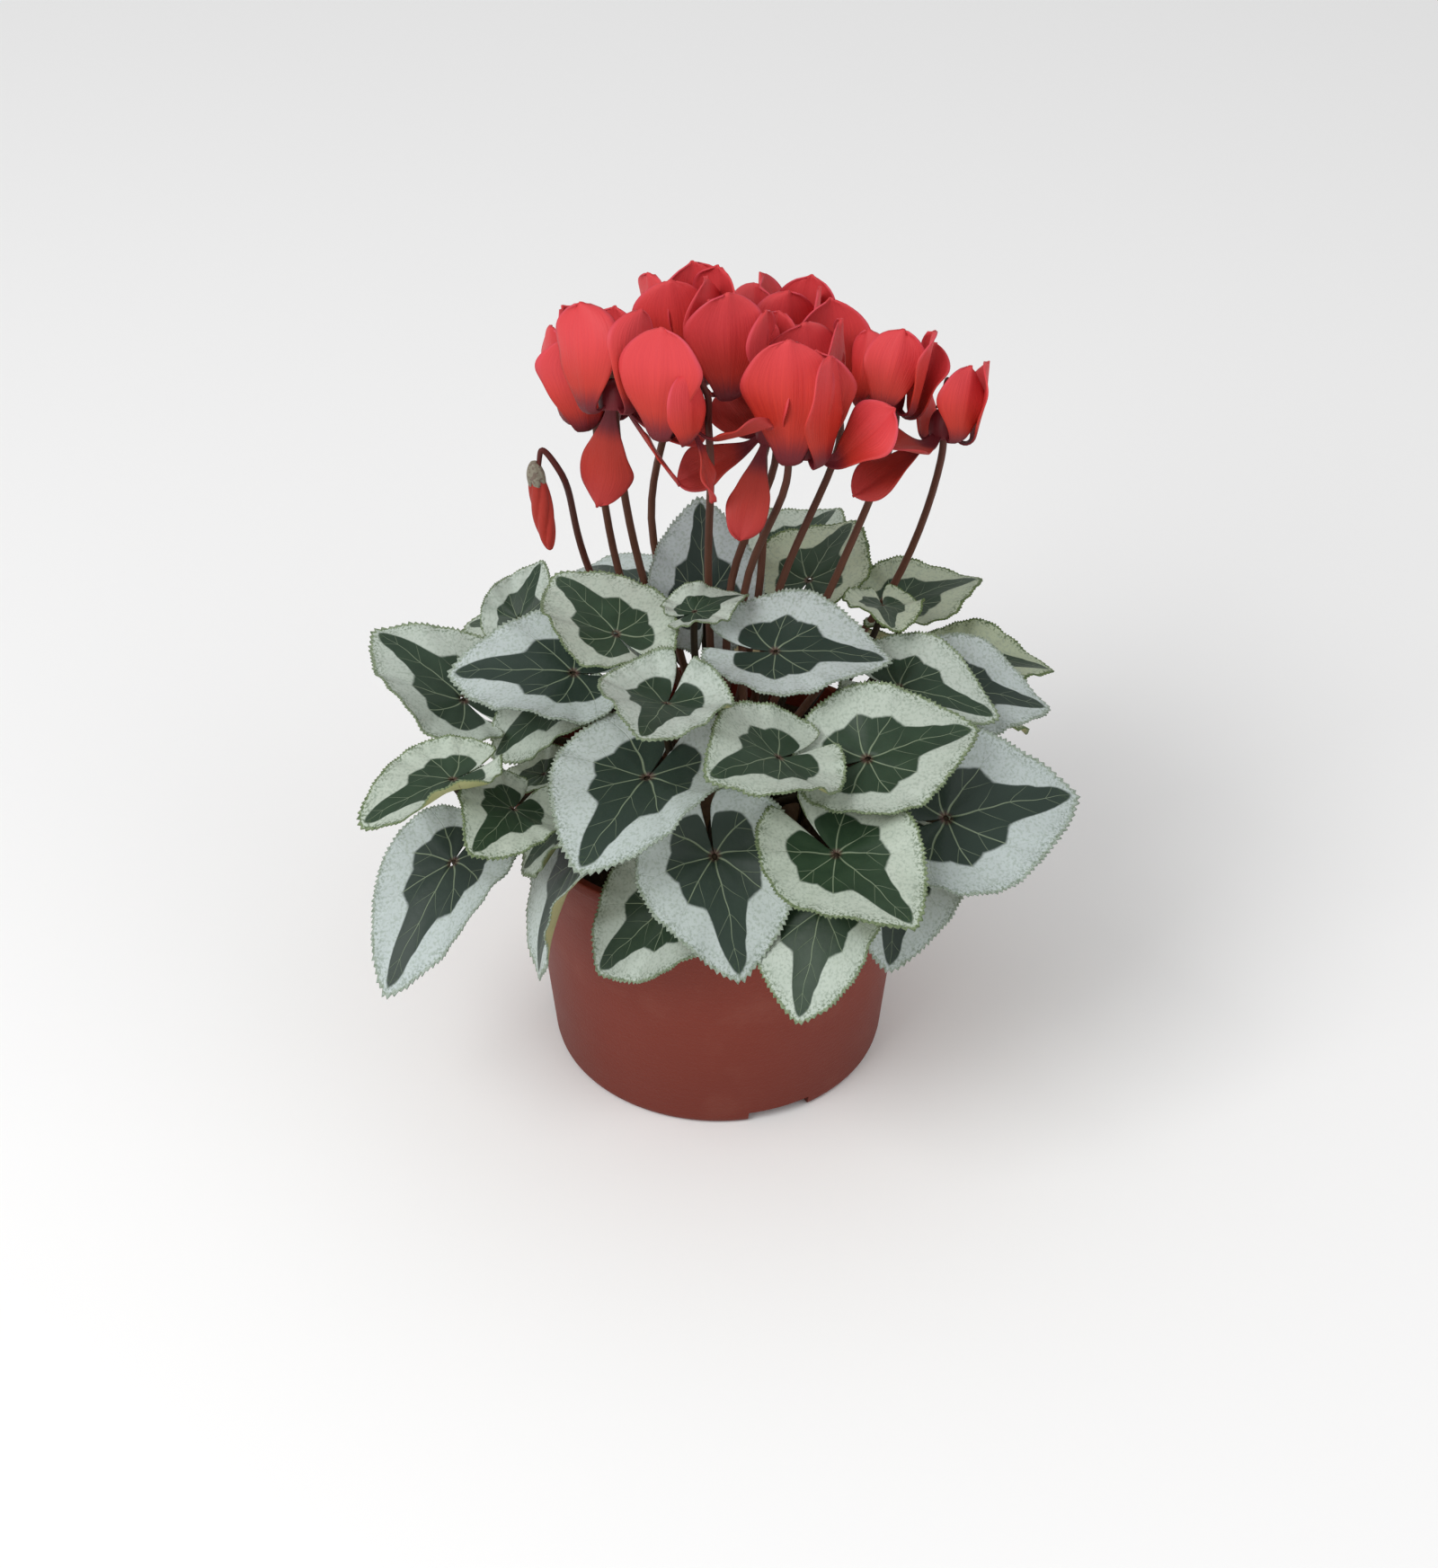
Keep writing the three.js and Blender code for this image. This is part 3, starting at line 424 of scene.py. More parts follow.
def heading(azimuth: float, slope: float) -> np.ndarray:
    """Gives a unit vector by its azimuth and its slope, both in degrees."""
    tilt = math.radians(slope)
    return spot(azimuth, math.cos(tilt), math.sin(tilt))


def unit(vectors: np.ndarray) -> np.ndarray:
    """Scales vectors to length 1."""
    return vectors / np.maximum(np.linalg.norm(vectors, axis=-1, keepdims=True), 1e-9)


def ease(values: np.ndarray, low: float, high: float) -> np.ndarray:
    """Runs smoothly from 0 at low to 1 at high."""
    share = np.clip((values - low) / (high - low), 0.0, 1.0)
    return share * share * (3.0 - 2.0 * share)


def square_to(axis: np.ndarray, azimuth: float) -> np.ndarray:
    """Gives the direction square to an axis that points to an azimuth."""
    out = heading(azimuth, 0.0)
    return unit(out - axis * (out @ axis))


def through(points: np.ndarray, count: int) -> np.ndarray:
    """Runs a centripetal Catmull-Rom curve through points.

    Args:
        points: the points, in order.
        count: how many points to give back.

    Returns:
        Points on the curve.
    """
    ends = np.vstack([2 * points[0] - points[1], points, 2 * points[-1] - points[-2]])
    place = np.linspace(0.0, len(points) - 1.0, count)
    first = np.minimum(place.astype(int), len(points) - 2)
    w = (place - first)[:, None]
    p0, p1, p2, p3 = (ends[first + k] for k in range(4))
    d0, d1, d2 = (np.sqrt(np.linalg.norm(b - a, axis=1))[:, None] for a, b in ((p0, p1), (p1, p2), (p2, p3)))
    leave = d1 * ((p1 - p0) / d0 - (p2 - p0) / (d0 + d1)) + p2 - p1
    arrive = d1 * ((p3 - p2) / d2 - (p3 - p1) / (d1 + d2)) + p2 - p1
    square = 3 * (p2 - p1) - 2 * leave - arrive
    cube = 2 * (p1 - p2) + leave + arrive
    return p1 + leave * w + square * w**2 + cube * w**3


def roll_strip(along: np.ndarray, up: np.ndarray, curve: np.ndarray) -> tuple:
    """Rolls a strip into an arc: arm = 1 / curve - up, turned by curve * along.

    Args:
        along: distance along the flat strip.
        up: height over it.
        curve: bend per millimetre.

    Returns:
        The rolled distances along and up.
    """
    bend = np.where(np.abs(curve) < 1e-6, 1e-6, curve)
    arm = 1.0 / bend - up
    return arm * np.sin(bend * along), 1.0 / bend - arm * np.cos(bend * along)


@dataclass
class Shell:
    """A surface of quads with three pattern values at each point and a finish number on each quad."""

    points: np.ndarray
    quads: np.ndarray
    detail: np.ndarray
    finishes: np.ndarray

    @staticmethod
    def joined(shells: list) -> "Shell":
        """Puts several shells in one."""
        starts = np.cumsum([0] + [len(shell.points) for shell in shells[:-1]])
        return Shell(
            np.vstack([shell.points for shell in shells]),
            np.vstack([shell.quads + start for shell, start in zip(shells, starts)]),
            np.vstack([shell.detail for shell in shells]),
            np.concatenate([shell.finishes for shell in shells]),
        )


def turns(count: int) -> np.ndarray:
    """Gives evenly spaced turns round a circle, in radians."""
    return np.linspace(0.0, 2 * np.pi, count, endpoint=False)


def stacked(*parts: object) -> np.ndarray:
    """Puts numbers or grids of numbers side by side, as the parts of one vector at each point."""
    return np.stack(np.broadcast_arrays(*parts), -1)


def grid_quads(rows: int, columns: int, is_wrapped: bool) -> np.ndarray:
    """Numbers the quads of a grid of points, row by row.

    Args:
        rows: rows of points.
        columns: points in a row.
        is_wrapped: whether the last column joins the first.

    Returns:
        An array of four point numbers a quad.
    """
    i, j = np.meshgrid(np.arange(rows - 1), np.arange(columns if is_wrapped else columns - 1), indexing="ij")
    k = (j + 1) % columns
    here, over = i * columns, (i + 1) * columns
    return np.stack([here + j, here + k, over + k, over + j], -1).reshape(-1, 4)


def wrap_shell(points: np.ndarray, detail: np.ndarray, finish: int = 0) -> Shell:
    """Makes a shell of rings of points, each ring closed on itself, seen from outside."""
    rows, columns = points.shape[:2]
    quads = grid_quads(rows, columns, True)
    return Shell(points.reshape(-1, 3), quads, detail.reshape(-1, 3), np.full(len(quads), finish))


def sheet_shell(middle: np.ndarray, detail: np.ndarray, thickness: float, sign: float, lower: int) -> Shell:
    """Makes a closed sheet from its middle surface: each face lies half a thickness along the normal.

    Args:
        middle: rows of points on the middle surface.
        detail: pattern values at those points.
        thickness: the sheet's thickness.
        sign: +1 if rows crossed with columns point out of the upper face, otherwise -1.
        lower: the lower face's finish number; the upper face and the rim have 0.

    Returns:
        The sheet.
    """
    rows, columns = middle.shape[:2]
    normal = sign * unit(np.cross(np.gradient(middle, axis=0), np.gradient(middle, axis=1)))
    upper_face = middle + normal * thickness / 2
    lower_face = middle - normal * thickness / 2
    count = rows * columns
    numbers = np.arange(count).reshape(rows, columns)
    edge = np.concatenate([numbers[0], numbers[1:, -1], numbers[-1, -2::-1], numbers[-2:0:-1, 0]])
    other = np.roll(edge, -1)
    quads = grid_quads(rows, columns, False)
    rim = np.stack([edge, edge + count, other + count, other], -1)
    if sign > 0:
        quads, rim = quads[:, ::-1], rim[:, ::-1]
    return Shell(
        np.vstack([upper_face.reshape(-1, 3), lower_face.reshape(-1, 3)]),
        np.vstack([quads, quads[:, ::-1] + count, rim]),
        np.vstack([detail.reshape(-1, 3)] * 2),
        np.concatenate([np.zeros(len(quads)), np.full(len(quads), lower), np.zeros(len(rim))]).astype(int),
    )


def tube_shell(path: np.ndarray, radii: np.ndarray, sides: int, mood: float, finish: int = 0) -> Shell:
    """Makes a round stalk: point = path + radius * (side * cos t + other * sin t), its ends drawn in.

    Args:
        path: the stalk's middle line.
        radii: its radius along the line.
        sides: points round it.
        mood: a value from 0 to 1 for the finish.
        finish: its finish number.

    Returns:
        The stalk, whose pattern values are its share of the length, its turn and its mood.
    """
    path = np.vstack([path[:1], path, path[-1:]])
    radii = np.concatenate([[0.05], radii, [0.05]])
    tangent = unit(np.gradient(path[1:-1], axis=0))
    tangent = np.vstack([tangent[:1], tangent, tangent[-1:]])
    ref = unit(np.cross(path[-1] - path[0], UP))
    side = unit(ref - tangent * (tangent @ ref)[:, None])
    other = np.cross(tangent, side)
    turn = turns(sides)
    ring = side[:, None] * np.cos(turn)[None, :, None] + other[:, None] * np.sin(turn)[None, :, None]
    points = path[:, None] + ring * radii[:, None, None]
    share = np.linspace(0.0, 1.0, len(path))[:, None]
    return wrap_shell(points, stacked(share, turn / (2 * np.pi), mood), finish)


def turned_shell(profile: list, sides: int, mood: float = 0.5) -> Shell:
    """Turns (radius, height) pairs about +Z: point = (r cos t, r sin t, h), from the top down outside."""
    radius, height = np.array(profile)[:, :, None].transpose(1, 0, 2)
    turn = turns(sides)
    points = stacked(radius * np.cos(turn), radius * np.sin(turn), height)
    share = np.linspace(0.0, 1.0, len(profile))[:, None]
    return wrap_shell(points[::-1], stacked(share, turn / (2 * np.pi), mood)[::-1])


def smooth_profile(profile: list, count: int) -> list:
    """Draws a smooth line through (radius, height) pairs."""
    flat = np.array([[r, 0.0, h] for r, h in profile], dtype=float)
    return through(flat, count)[:, [0, 2]].tolist()


def placed(shell: Shell, origin: np.ndarray, out: np.ndarray, up: np.ndarray) -> Shell:
    """Stands a shell made about +Z on a point, its +X turned to out and its +Z to up."""
    basis = np.stack([out, np.cross(up, out), up])
    return Shell(origin + shell.points @ basis, shell.quads, shell.detail, shell.finishes)


def ripple(points: np.ndarray, size: float, seed: int) -> np.ndarray:
    """Gives a smooth noise from -1 to 1: the mean of seven sines along seeded directions.

    Args:
        points: points in space.
        size: the lumps' size.
        seed: the seed of the directions.

    Returns:
        A value at each point.
    """
    rng = np.random.default_rng(seed)
    ways = rng.normal(size=(7, 3)) * 2.0 / size
    phases = rng.uniform(0.0, 2 * np.pi, 7)
    return np.sin(points @ ways.T + phases).mean(axis=-1) * 1.6


def added(name: str, data: bpy.types.ID) -> bpy.types.Object:
    """Adds an object to the scene."""
    made = bpy.data.objects.new(name, data)
    bpy.context.scene.collection.objects.link(made)
    return made


# Finishes


class Value:
    """A number or a colour in a shader tree: sums read as plain arithmetic and add a node each."""

    def __init__(self, nodes: "Nodes", socket: bpy.types.NodeSocket) -> None:
        self.nodes = nodes
        self.socket = socket

    def __add__(self, other: object) -> "Value":
        return self.nodes.math("ADD", self, other)

    def __sub__(self, other: object) -> "Value":
        return self.nodes.math("SUBTRACT", self, other)

    def __rsub__(self, other: object) -> "Value":
        return self.nodes.math("SUBTRACT", other, self)

    def __mul__(self, other: object) -> "Value":
        return self.nodes.math("MULTIPLY", self, other)

    def __truediv__(self, other: object) -> "Value":
        return self.nodes.math("DIVIDE", self, other)

    def __abs__(self) -> "Value":
        return self.nodes.math("ABSOLUTE", self)

    def clamped(self) -> "Value":
        """Keeps the sum that made this value from 0 to 1."""
        self.socket.node.use_clamp = True
        return self

    def rise(self, low: float, high: float) -> "Value":
        """Runs smoothly from 0 to 1 while this value runs from low to high."""
        made = self.nodes.add("ShaderNodeMapRange", self, low, high, interpolation_type="SMOOTHSTEP")
        return Value(self.nodes, made.outputs[0])

    def fall(self, low: float, high: float) -> "Value":
        """Runs smoothly from 1 to 0 while this value runs from low to high."""
        return 1.0 - self.rise(low, high)

    def hump(self, middle: float, width: float) -> "Value":
        """Gives exp(-((x - middle) / width)^2) of this value x."""
        spread = (self - middle) / width
        return self.nodes.math("EXPONENT", self.nodes.math("POWER", spread, 2.0) * -1.0)

    def between(self, first: object, second: object) -> "Value":
        """Runs from the first colour to the second as this value runs from 0 to 1."""
        made = self.nodes.add("ShaderNodeMix", data_type="RGBA")
        for place, value in ((0, self), (6, first), (7, second)):
            self.nodes.feed(made.inputs[place], (*value, 1.0) if isinstance(value, tuple) else value)
        return Value(self.nodes, made.outputs[2])

    def layered(self, *layers: tuple) -> "Value":
        """Mixes other colours in this one, each by its share, one after another."""
        made = self
        for share, other in layers:
            made = share.between(made, other)
        return made


class Nodes:
    """A short way to lay out shader nodes in one tree."""

    def __init__(self, tree: bpy.types.NodeTree) -> None:
        self.tree = tree

    def add(self, kind: str, *inputs: object, **values: object) -> bpy.types.Node:
        """Adds a node, sets its properties and feeds its first inputs."""
        made = self.tree.nodes.new(kind)
        for key, value in values.items():
            setattr(made, key, value)
        for socket, value in zip(made.inputs, inputs):
            self.feed(socket, value)
        return made

    def feed(self, socket: bpy.types.NodeSocket, value: object) -> None:
        """Links a value into a socket, or sets the socket to a constant."""
        if isinstance(value, Value):
            self.tree.links.new(value.socket, socket)
        else:
            socket.default_value = value

    def outputs(self, node: bpy.types.Node) -> list:
        """Gives a node's outputs as values."""
        return [Value(self, socket) for socket in node.outputs]

    def math(self, operation: str, *values: object) -> Value:
        """Adds one sum."""
        return self.outputs(self.add("ShaderNodeMath", *values, operation=operation))[0]

    def vector(self, *values: object) -> Value:
        """Puts three numbers in a vector."""
        return self.outputs(self.add("ShaderNodeCombineXYZ", *values))[0]

    def place(self) -> Value:
        """Gives the place in the piece's own space."""
        return Value(self, self.add("ShaderNodeTexCoord").outputs["Object"])

    def noise(self, scale: float, detail: float = 2.0, where: Value = None) -> Value:
        """Adds a noise, by default in the piece's own space."""
        made = self.add("ShaderNodeTexNoise")
        for name, value in (("Scale", scale), ("Detail", detail), ("Vector", where or self.place())):
            self.feed(made.inputs[name], value)
        return Value(self, made.outputs[0])

    def attribute(self, name: str, output: str) -> Value:
        """Reads an attribute of the mesh."""
        return Value(self, self.add("ShaderNodeAttribute", attribute_name=name).outputs[output])

    def detail(self) -> list:
        """Reads the three pattern values."""
        return self.outputs(self.add("ShaderNodeSeparateXYZ", self.attribute("detail", "Vector")))

    def streaks(self, across: float, along: float) -> Value:
        """Adds a noise drawn out along the piece, from its share of the length, its side and its mood."""
        share, side, mood = self.detail()
        return self.noise(1.0, 3.0, self.vector(side * across, share * along, mood))


@dataclass(frozen=True)
class Finish:
    """A surface finish: its name, its gloss and how deep its relief is."""

    name: str
    roughness: float
    relief: float
    coat: float = 0.0
    specular: float = 0.5


POT_FINISH = Finish("pot_plastic", 0.52, 0.25, specular=0.22)
SOIL_FINISH = Finish("soil_crumbs", 0.95, 0.9, specular=0.2)
CORM_FINISH = Finish("corm_cork", 0.85, 0.8, specular=0.2)
UPPER_FINISH = Finish("leaf_upper", 0.52, 0.35, coat=0.02, specular=0.32)
UNDER_FINISH = Finish("leaf_under", 0.62, 0.45)
STALK_FINISH = Finish("stalk_skin", 0.55, 0.3, specular=0.2)
PETIOLE_FINISH = Finish("petiole_skin", 0.65, 0.3, specular=0.15)
PETAL_FINISH = Finish("petal_satin", 0.55, 0.3, specular=0.3)
CALYX_FINISH = Finish("calyx_skin", 0.55, 0.3)


class Palette:
    """Makes each finish's material once."""

    def __init__(self) -> None:
        self.made = {}
        self.painters = {
            POT_FINISH: self.paint_pot,
            SOIL_FINISH: self.paint_soil,
            CORM_FINISH: self.paint_corm,
            UPPER_FINISH: self.paint_upper,
            UNDER_FINISH: self.paint_under,
            STALK_FINISH: self.paint_stalk,
            PETIOLE_FINISH: self.paint_petiole,
            PETAL_FINISH: self.paint_petal,
            CALYX_FINISH: self.paint_calyx,
        }
        self.veins = self.vein_group()

    def material(self, finish: Finish) -> bpy.types.Material:
        """Gives a finish's material: its painter's colour, roughness and height feed one shader."""
        if finish in self.made:
            return self.made[finish]
        material = bpy.data.materials.new(finish.name)
        material.use_nodes = True
        nodes = Nodes(material.node_tree)
        shader = material.node_tree.nodes["Principled BSDF"]
        base, roughness, height = self.painters[finish](nodes, finish)
        bump = nodes.add("ShaderNodeBump")
        inputs = {
            shader: {
                "Base Color": base,
                "Roughness": roughness,
                "Coat Weight": finish.coat,
                "Coat Roughness": COAT_ROUGHNESS,
                "Specular IOR Level": finish.specular,
                "Normal": Value(nodes, bump.outputs[0]),
            },
            bump: {"Strength": finish.relief, "Distance": RELIEF_DEPTH, "Height": height},
        }
        for node, values in inputs.items():
            for name, value in values.items():
                nodes.feed(node.inputs[name], value)
        self.made[finish] = material
        return material

    def vein_group(self) -> bpy.types.NodeTree:
        """Makes the vein pattern of a blade as a node group.

        With r the distance from the petiole, t the angle from the tip and k the nearest of the evenly spaced
        main veins, a main vein is where r sin(t - k) is small. Its side veins leave it at even steps, where
        p - 1.15 |q| is near a step, p and q running along and across the main vein. The dark middle ends
        at a share of the margin's distance that peaks toward the tip, the main veins and the lobes.
        """
        tree = bpy.data.node_groups.new("blade_veins", "ShaderNodeTree")
        for name in ("u", "v", "share"):
            tree.interface.new_socket(name=name, in_out="INPUT", socket_type="NodeSocketFloat")
        for name in ("veins", "dark", "radius"):
            tree.interface.new_socket(name=name, in_out="OUTPUT", socket_type="NodeSocketFloat")
        nodes = Nodes(tree)
        u, v, share = nodes.outputs(nodes.add("NodeGroupInput"))[:3]
        spacing = math.radians(VEIN_SPACING)
        flat = nodes.vector(u, v, 0.0)
        stray = (nodes.noise(3.5, 1.0, flat) - 0.5) * 0.06
        u = u + stray
        v = v + stray
        radius = nodes.math("SQRT", nodes.math("POWER", u, 2.0) + nodes.math("POWER", v, 2.0))
        angle = nodes.math("ARCTAN2", abs(v), u) * (radius * 0.3 + 1.0)
        steps = angle / spacing
        nearest = nodes.math("MINIMUM", nodes.math("ROUND", steps), float(VEINS_A_SIDE))
        off = (steps - nearest) * spacing
        across = abs(radius * nodes.math("SINE", off))
        along = radius * nodes.math("COSINE", off)
        girth = nodes.math("MAXIMUM", radius * -0.006 + 0.0068, 0.0020)
        main = (across / girth).fall(0.45, 1.3)
        beat = nodes.math("PINGPONG", along - across * 1.15 + 0.02, SIDE_VEIN_STEP)
        branch = beat.fall(0.001, 0.0052) * across.fall(0.06, 0.17) * (along.rise(0.12, 0.2) * 0.7)
        veins = nodes.math("MAXIMUM", main, branch) * share.fall(0.8, 1.0)
        corner = (1.0 - abs(off) / (spacing / 2)).clamped()
        corner = corner * (angle.fall(math.radians(105.0), math.radians(135.0)) * 0.085)
        point = angle.hump(0.0, math.radians(12.5))
        heel = angle.hump(math.radians(146.0), math.radians(24.0))
        ragged = (nodes.noise(7.0, 3.0, flat) - 0.5) * 0.055
        edge = point * 0.33 + DARK_SHARE + (heel * 0.09 + corner) + ragged
        dark = (edge - share).rise(-0.012, 0.03)
        nodes.add("NodeGroupOutput", veins, dark, radius)
        return tree

    def blade_pattern(self, nodes: Nodes) -> tuple:
        """Reads a blade's veins, dark middle, radius, share of the margin and mood."""
        values = nodes.detail()
        group = nodes.add("ShaderNodeGroup", node_tree=self.veins)
        for socket, value in zip(group.inputs, values):
            nodes.feed(socket, value)
        return (*nodes.outputs(group), values[2], nodes.attribute("mood", "Fac"))

    def paint_upper(self, nodes: Nodes, finish: Finish) -> tuple:
        """Paints a blade's upper face: silver, a dark middle, pale veins and a speckled green margin."""
        veins, dark, radius, share, mood = self.blade_pattern(nodes)
        silver = nodes.noise(90.0, 4.0).between(SILVER_LOW, SILVER_HIGH).layered(
            ((mood * 0.85).clamped(), SILVER_BLUE),
            ((mood * -0.8).clamped(), SILVER_AGED),
            (nodes.noise(1100.0, 5.0).rise(0.46, 0.66) * 0.5, SILVER_MOTTLE),
        )
        green = nodes.noise(160.0, 3.0).between(GREEN_LOW, GREEN_HIGH)
        green = green.layered(((mood * 0.8).clamped(), GREEN_BLUE))
        rim = (share + nodes.noise(900.0, 2.0) * 0.08).rise(0.995, 1.02)
        ring = share.rise(0.80, 0.97) * nodes.noise(1300.0, 3.0).rise(0.5, 0.6)
        base = dark.between(silver, green).layered(
            (veins * (dark * 0.4 + 0.15), dark.between(VEIN_ON_SILVER, VEIN_ON_GREEN)),
            (rim * (mood * -0.5 + 0.85), RIM_GREEN),
            (ring * (mood * -0.3 + 0.72), RING_GREEN),
            (radius.fall(0.015, 0.055) * 0.8, PETIOLE_BLUSH),
        )
        return base, dark * -0.08 + (finish.roughness + 0.05), nodes.noise(420.0, 4.0) * 0.6 - veins

    def paint_under(self, nodes: Nodes, finish: Finish) -> tuple:
        """Paints a blade's lower face: olive to tan, its veins raised and browner."""
        veins, dark, _, share, mood = self.blade_pattern(nodes)
        base = nodes.noise(60.0, 3.0).between(UNDER_LOW, UNDER_HIGH).layered(
            ((mood * 0.5).clamped(), UNDER_TAN),
            (dark * 0.25, UNDER_DARK),
            (veins * 0.6, UNDER_VEIN),
            (share.rise(0.96, 1.0) * 0.6, UNDER_RIM),
        )
        return base, finish.roughness, nodes.noise(420.0, 4.0) * 0.5 + veins

    def paint_petal(self, nodes: Nodes, finish: Finish) -> tuple:
        """Paints a petal: dark at its foot, red, pinker high up and at its edge, partly as a painted
        highlight, darker as painted shade where it hangs, with fine lines along it.
        """
        share, side, mood = nodes.detail()
        lines = nodes.streaks(22.0, 2.2)
        worn = share + lines * 0.12
        # The upper edges, which get a pinker tone that is partly a painted highlight.
        edge = abs(side).rise(0.84, 1.0) * share.rise(0.5, 0.95) * nodes.noise(40.0, 2.0).rise(0.3, 0.6)
        red = lines.between(PETAL_LOW, PETAL_HIGH).layered(
            # Pinker tone and painted highlight high up, more on upright petals, and at the upper edges.
            ((share + mood * 0.35).rise(0.5, 1.15) * 0.6, PETAL_TOP_TONE_AND_HIGHLIGHT),
            (edge * 0.3, PETAL_EDGE_TONE_AND_HIGHLIGHT),
            (worn.fall(0.25, 0.8) * 0.65, PETAL_CLAW),
            # Painted shade on hanging petals and on the bud, which carry a low value.
            (mood.fall(0.15, 0.3) * 0.6, PETAL_HANGING_SHADE),
            (worn.fall(0.24, 0.44) * 0.85, PETAL_FOOT_SPOT),
        )
        return red, lines * 0.12 + (finish.roughness - 0.05), lines + nodes.noise(900.0, 2.0) * 0.3

    def paint_stalk(self, nodes: Nodes, finish: Finish) -> tuple:
        """Paints a stalk: red-brown, streaked along it, greener at its foot."""
        streaks = nodes.streaks(14.0, 4.0)
        base = streaks.between(STALK_LOW, STALK_HIGH)
        base = base.layered((nodes.detail()[0].fall(0.05, 0.6) * 0.5, STALK_FOOT))
        return base, finish.roughness, streaks + nodes.noise(1500.0, 2.0) * 0.4

    def paint_petiole(self, nodes: Nodes, finish: Finish) -> tuple:
        """Paints a petiole: brown-green, streaked along it, made very dark as a painted shade of the gaps
        between the leaves.
        """
        streaks = nodes.streaks(12.0, 5.0)
        # Brown-green with painted shade: far darker than the petioles' own colour.
        base = streaks.between(PETIOLE_SHADED_LOW, PETIOLE_SHADED_HIGH)
        return base, finish.roughness, streaks + nodes.noise(1500.0, 2.0) * 0.4

    def paint_calyx(self, nodes: Nodes, finish: Finish) -> tuple:
        """Paints a calyx: grey-green with brown flecks."""
        flecks = nodes.noise(900.0, 3.0).rise(0.48, 0.62)
        base = nodes.noise(300.0, 2.0).between(CALYX_LOW, CALYX_HIGH)
        return base.layered((flecks * 0.6, CALYX_FLECK)), finish.roughness, flecks

    def paint_pot(self, nodes: Nodes, finish: Finish) -> tuple:
        """Paints the pot: matt brown-red plastic with a fine grain, faint mould rings, dust and scuffs, and
        painted shade that grows darker toward its foot.
        """
        height = nodes.outputs(nodes.add("ShaderNodeSeparateXYZ", nodes.place()))[2]
        grain = nodes.noise(1400.0, 3.0)
        base = nodes.noise(18.0, 4.0).between(POT_LOW, POT_HIGH).layered(
            (grain.rise(0.55, 0.8) * 0.2, POT_GRAIN),
            (nodes.noise(60.0, 6.0).rise(0.52, 0.75) * 0.22, POT_DUST),
            # Painted shade: darker toward the foot.
            (height.fall(0.0, 0.07) * 0.45, POT_FOOT_SHADE),
        )
        rings = nodes.math("SINE", height * MOULD_RINGS)
        roughness = nodes.noise(40.0, 5.0) * 0.16 + (finish.roughness - 0.08)
        return base, roughness, grain * 1.2 + rings * 0.05

    def paint_soil(self, nodes: Nodes, finish: Finish) -> tuple:
        """Paints the soil: dark crumbs with paler fibres."""
        crumbs = nodes.noise(420.0, 5.0)
        fibres = nodes.noise(150.0, 2.0).rise(0.66, 0.72) * 0.5
        base = crumbs.between(SOIL_LOW, SOIL_HIGH).layered((fibres, SOIL_FIBRE))
        return base, finish.roughness, crumbs

    def paint_corm(self, nodes: Nodes, finish: Finish) -> tuple:
        """Paints the corm: cracked brown cork."""
        cork = nodes.noise(160.0, 6.0)
        return cork.between(CORK_LOW, CORK_HIGH), finish.roughness, cork


class Workshop:
    """Turns shells into pieces that stand for the frame's nodes."""

    def __init__(self) -> None:
        self.palette = Palette()
        self.triangles = 0

    def piece(
        self, node: str, shell: Shell, finishes: tuple, slot: Slot, mood: object = 0.5
    ) -> bpy.types.Object:
        """Makes one piece from a shell and hides the node that it stands for.

        Args:
            node: the node that it stands for.
            shell: its surface.
            finishes: its finishes, by their numbers in the shell.
            slot: not used.
            mood: a value from -1 to 1 for its tint, or one at each point.

        Returns:
            The piece.
        """
        mesh = bpy.data.meshes.new(node + "_skin")
        mesh.vertices.add(len(shell.points))
        mesh.vertices.foreach_set("co", (shell.points * MM).ravel())
        mesh.loops.add(shell.quads.size)
        mesh.loops.foreach_set("vertex_index", shell.quads.ravel())
        count = len(shell.quads)
        mesh.polygons.add(count)
        mesh.polygons.foreach_set("loop_start", 4 * np.arange(count))
        mesh.polygons.foreach_set("material_index", shell.finishes)
        mesh.polygons.foreach_set("use_smooth", np.ones(count, dtype=bool))
        detail = mesh.attributes.new("detail", "FLOAT_VECTOR", "POINT")
        detail.data.foreach_set("vector", shell.detail.ravel())
        moods = mesh.attributes.new("mood", "FLOAT", "POINT")
        moods.data.foreach_set("value", np.zeros(len(shell.points)) + mood)
        mesh.update(calc_edges=True)
        mesh.validate()
        piece = added(node + "_skin", mesh)
        for finish in finishes:
            mesh.materials.append(self.palette.material(finish))
        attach(piece, "root")
        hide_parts(node)
        triangles = 2 * len(mesh.polygons)
        self.triangles += triangles
        LOG.info("%s: %d triangles", piece.name, triangles)
        return piece


# Crown


@dataclass
class Root:
    """A place on the crown where a stalk springs, and its way out."""

    point: np.ndarray
    out: np.ndarray

    def at(self, rise: float) -> np.ndarray:
        """Gives the point that lies on the stalk's way out, so far from the corm."""
        return self.point + self.out * rise


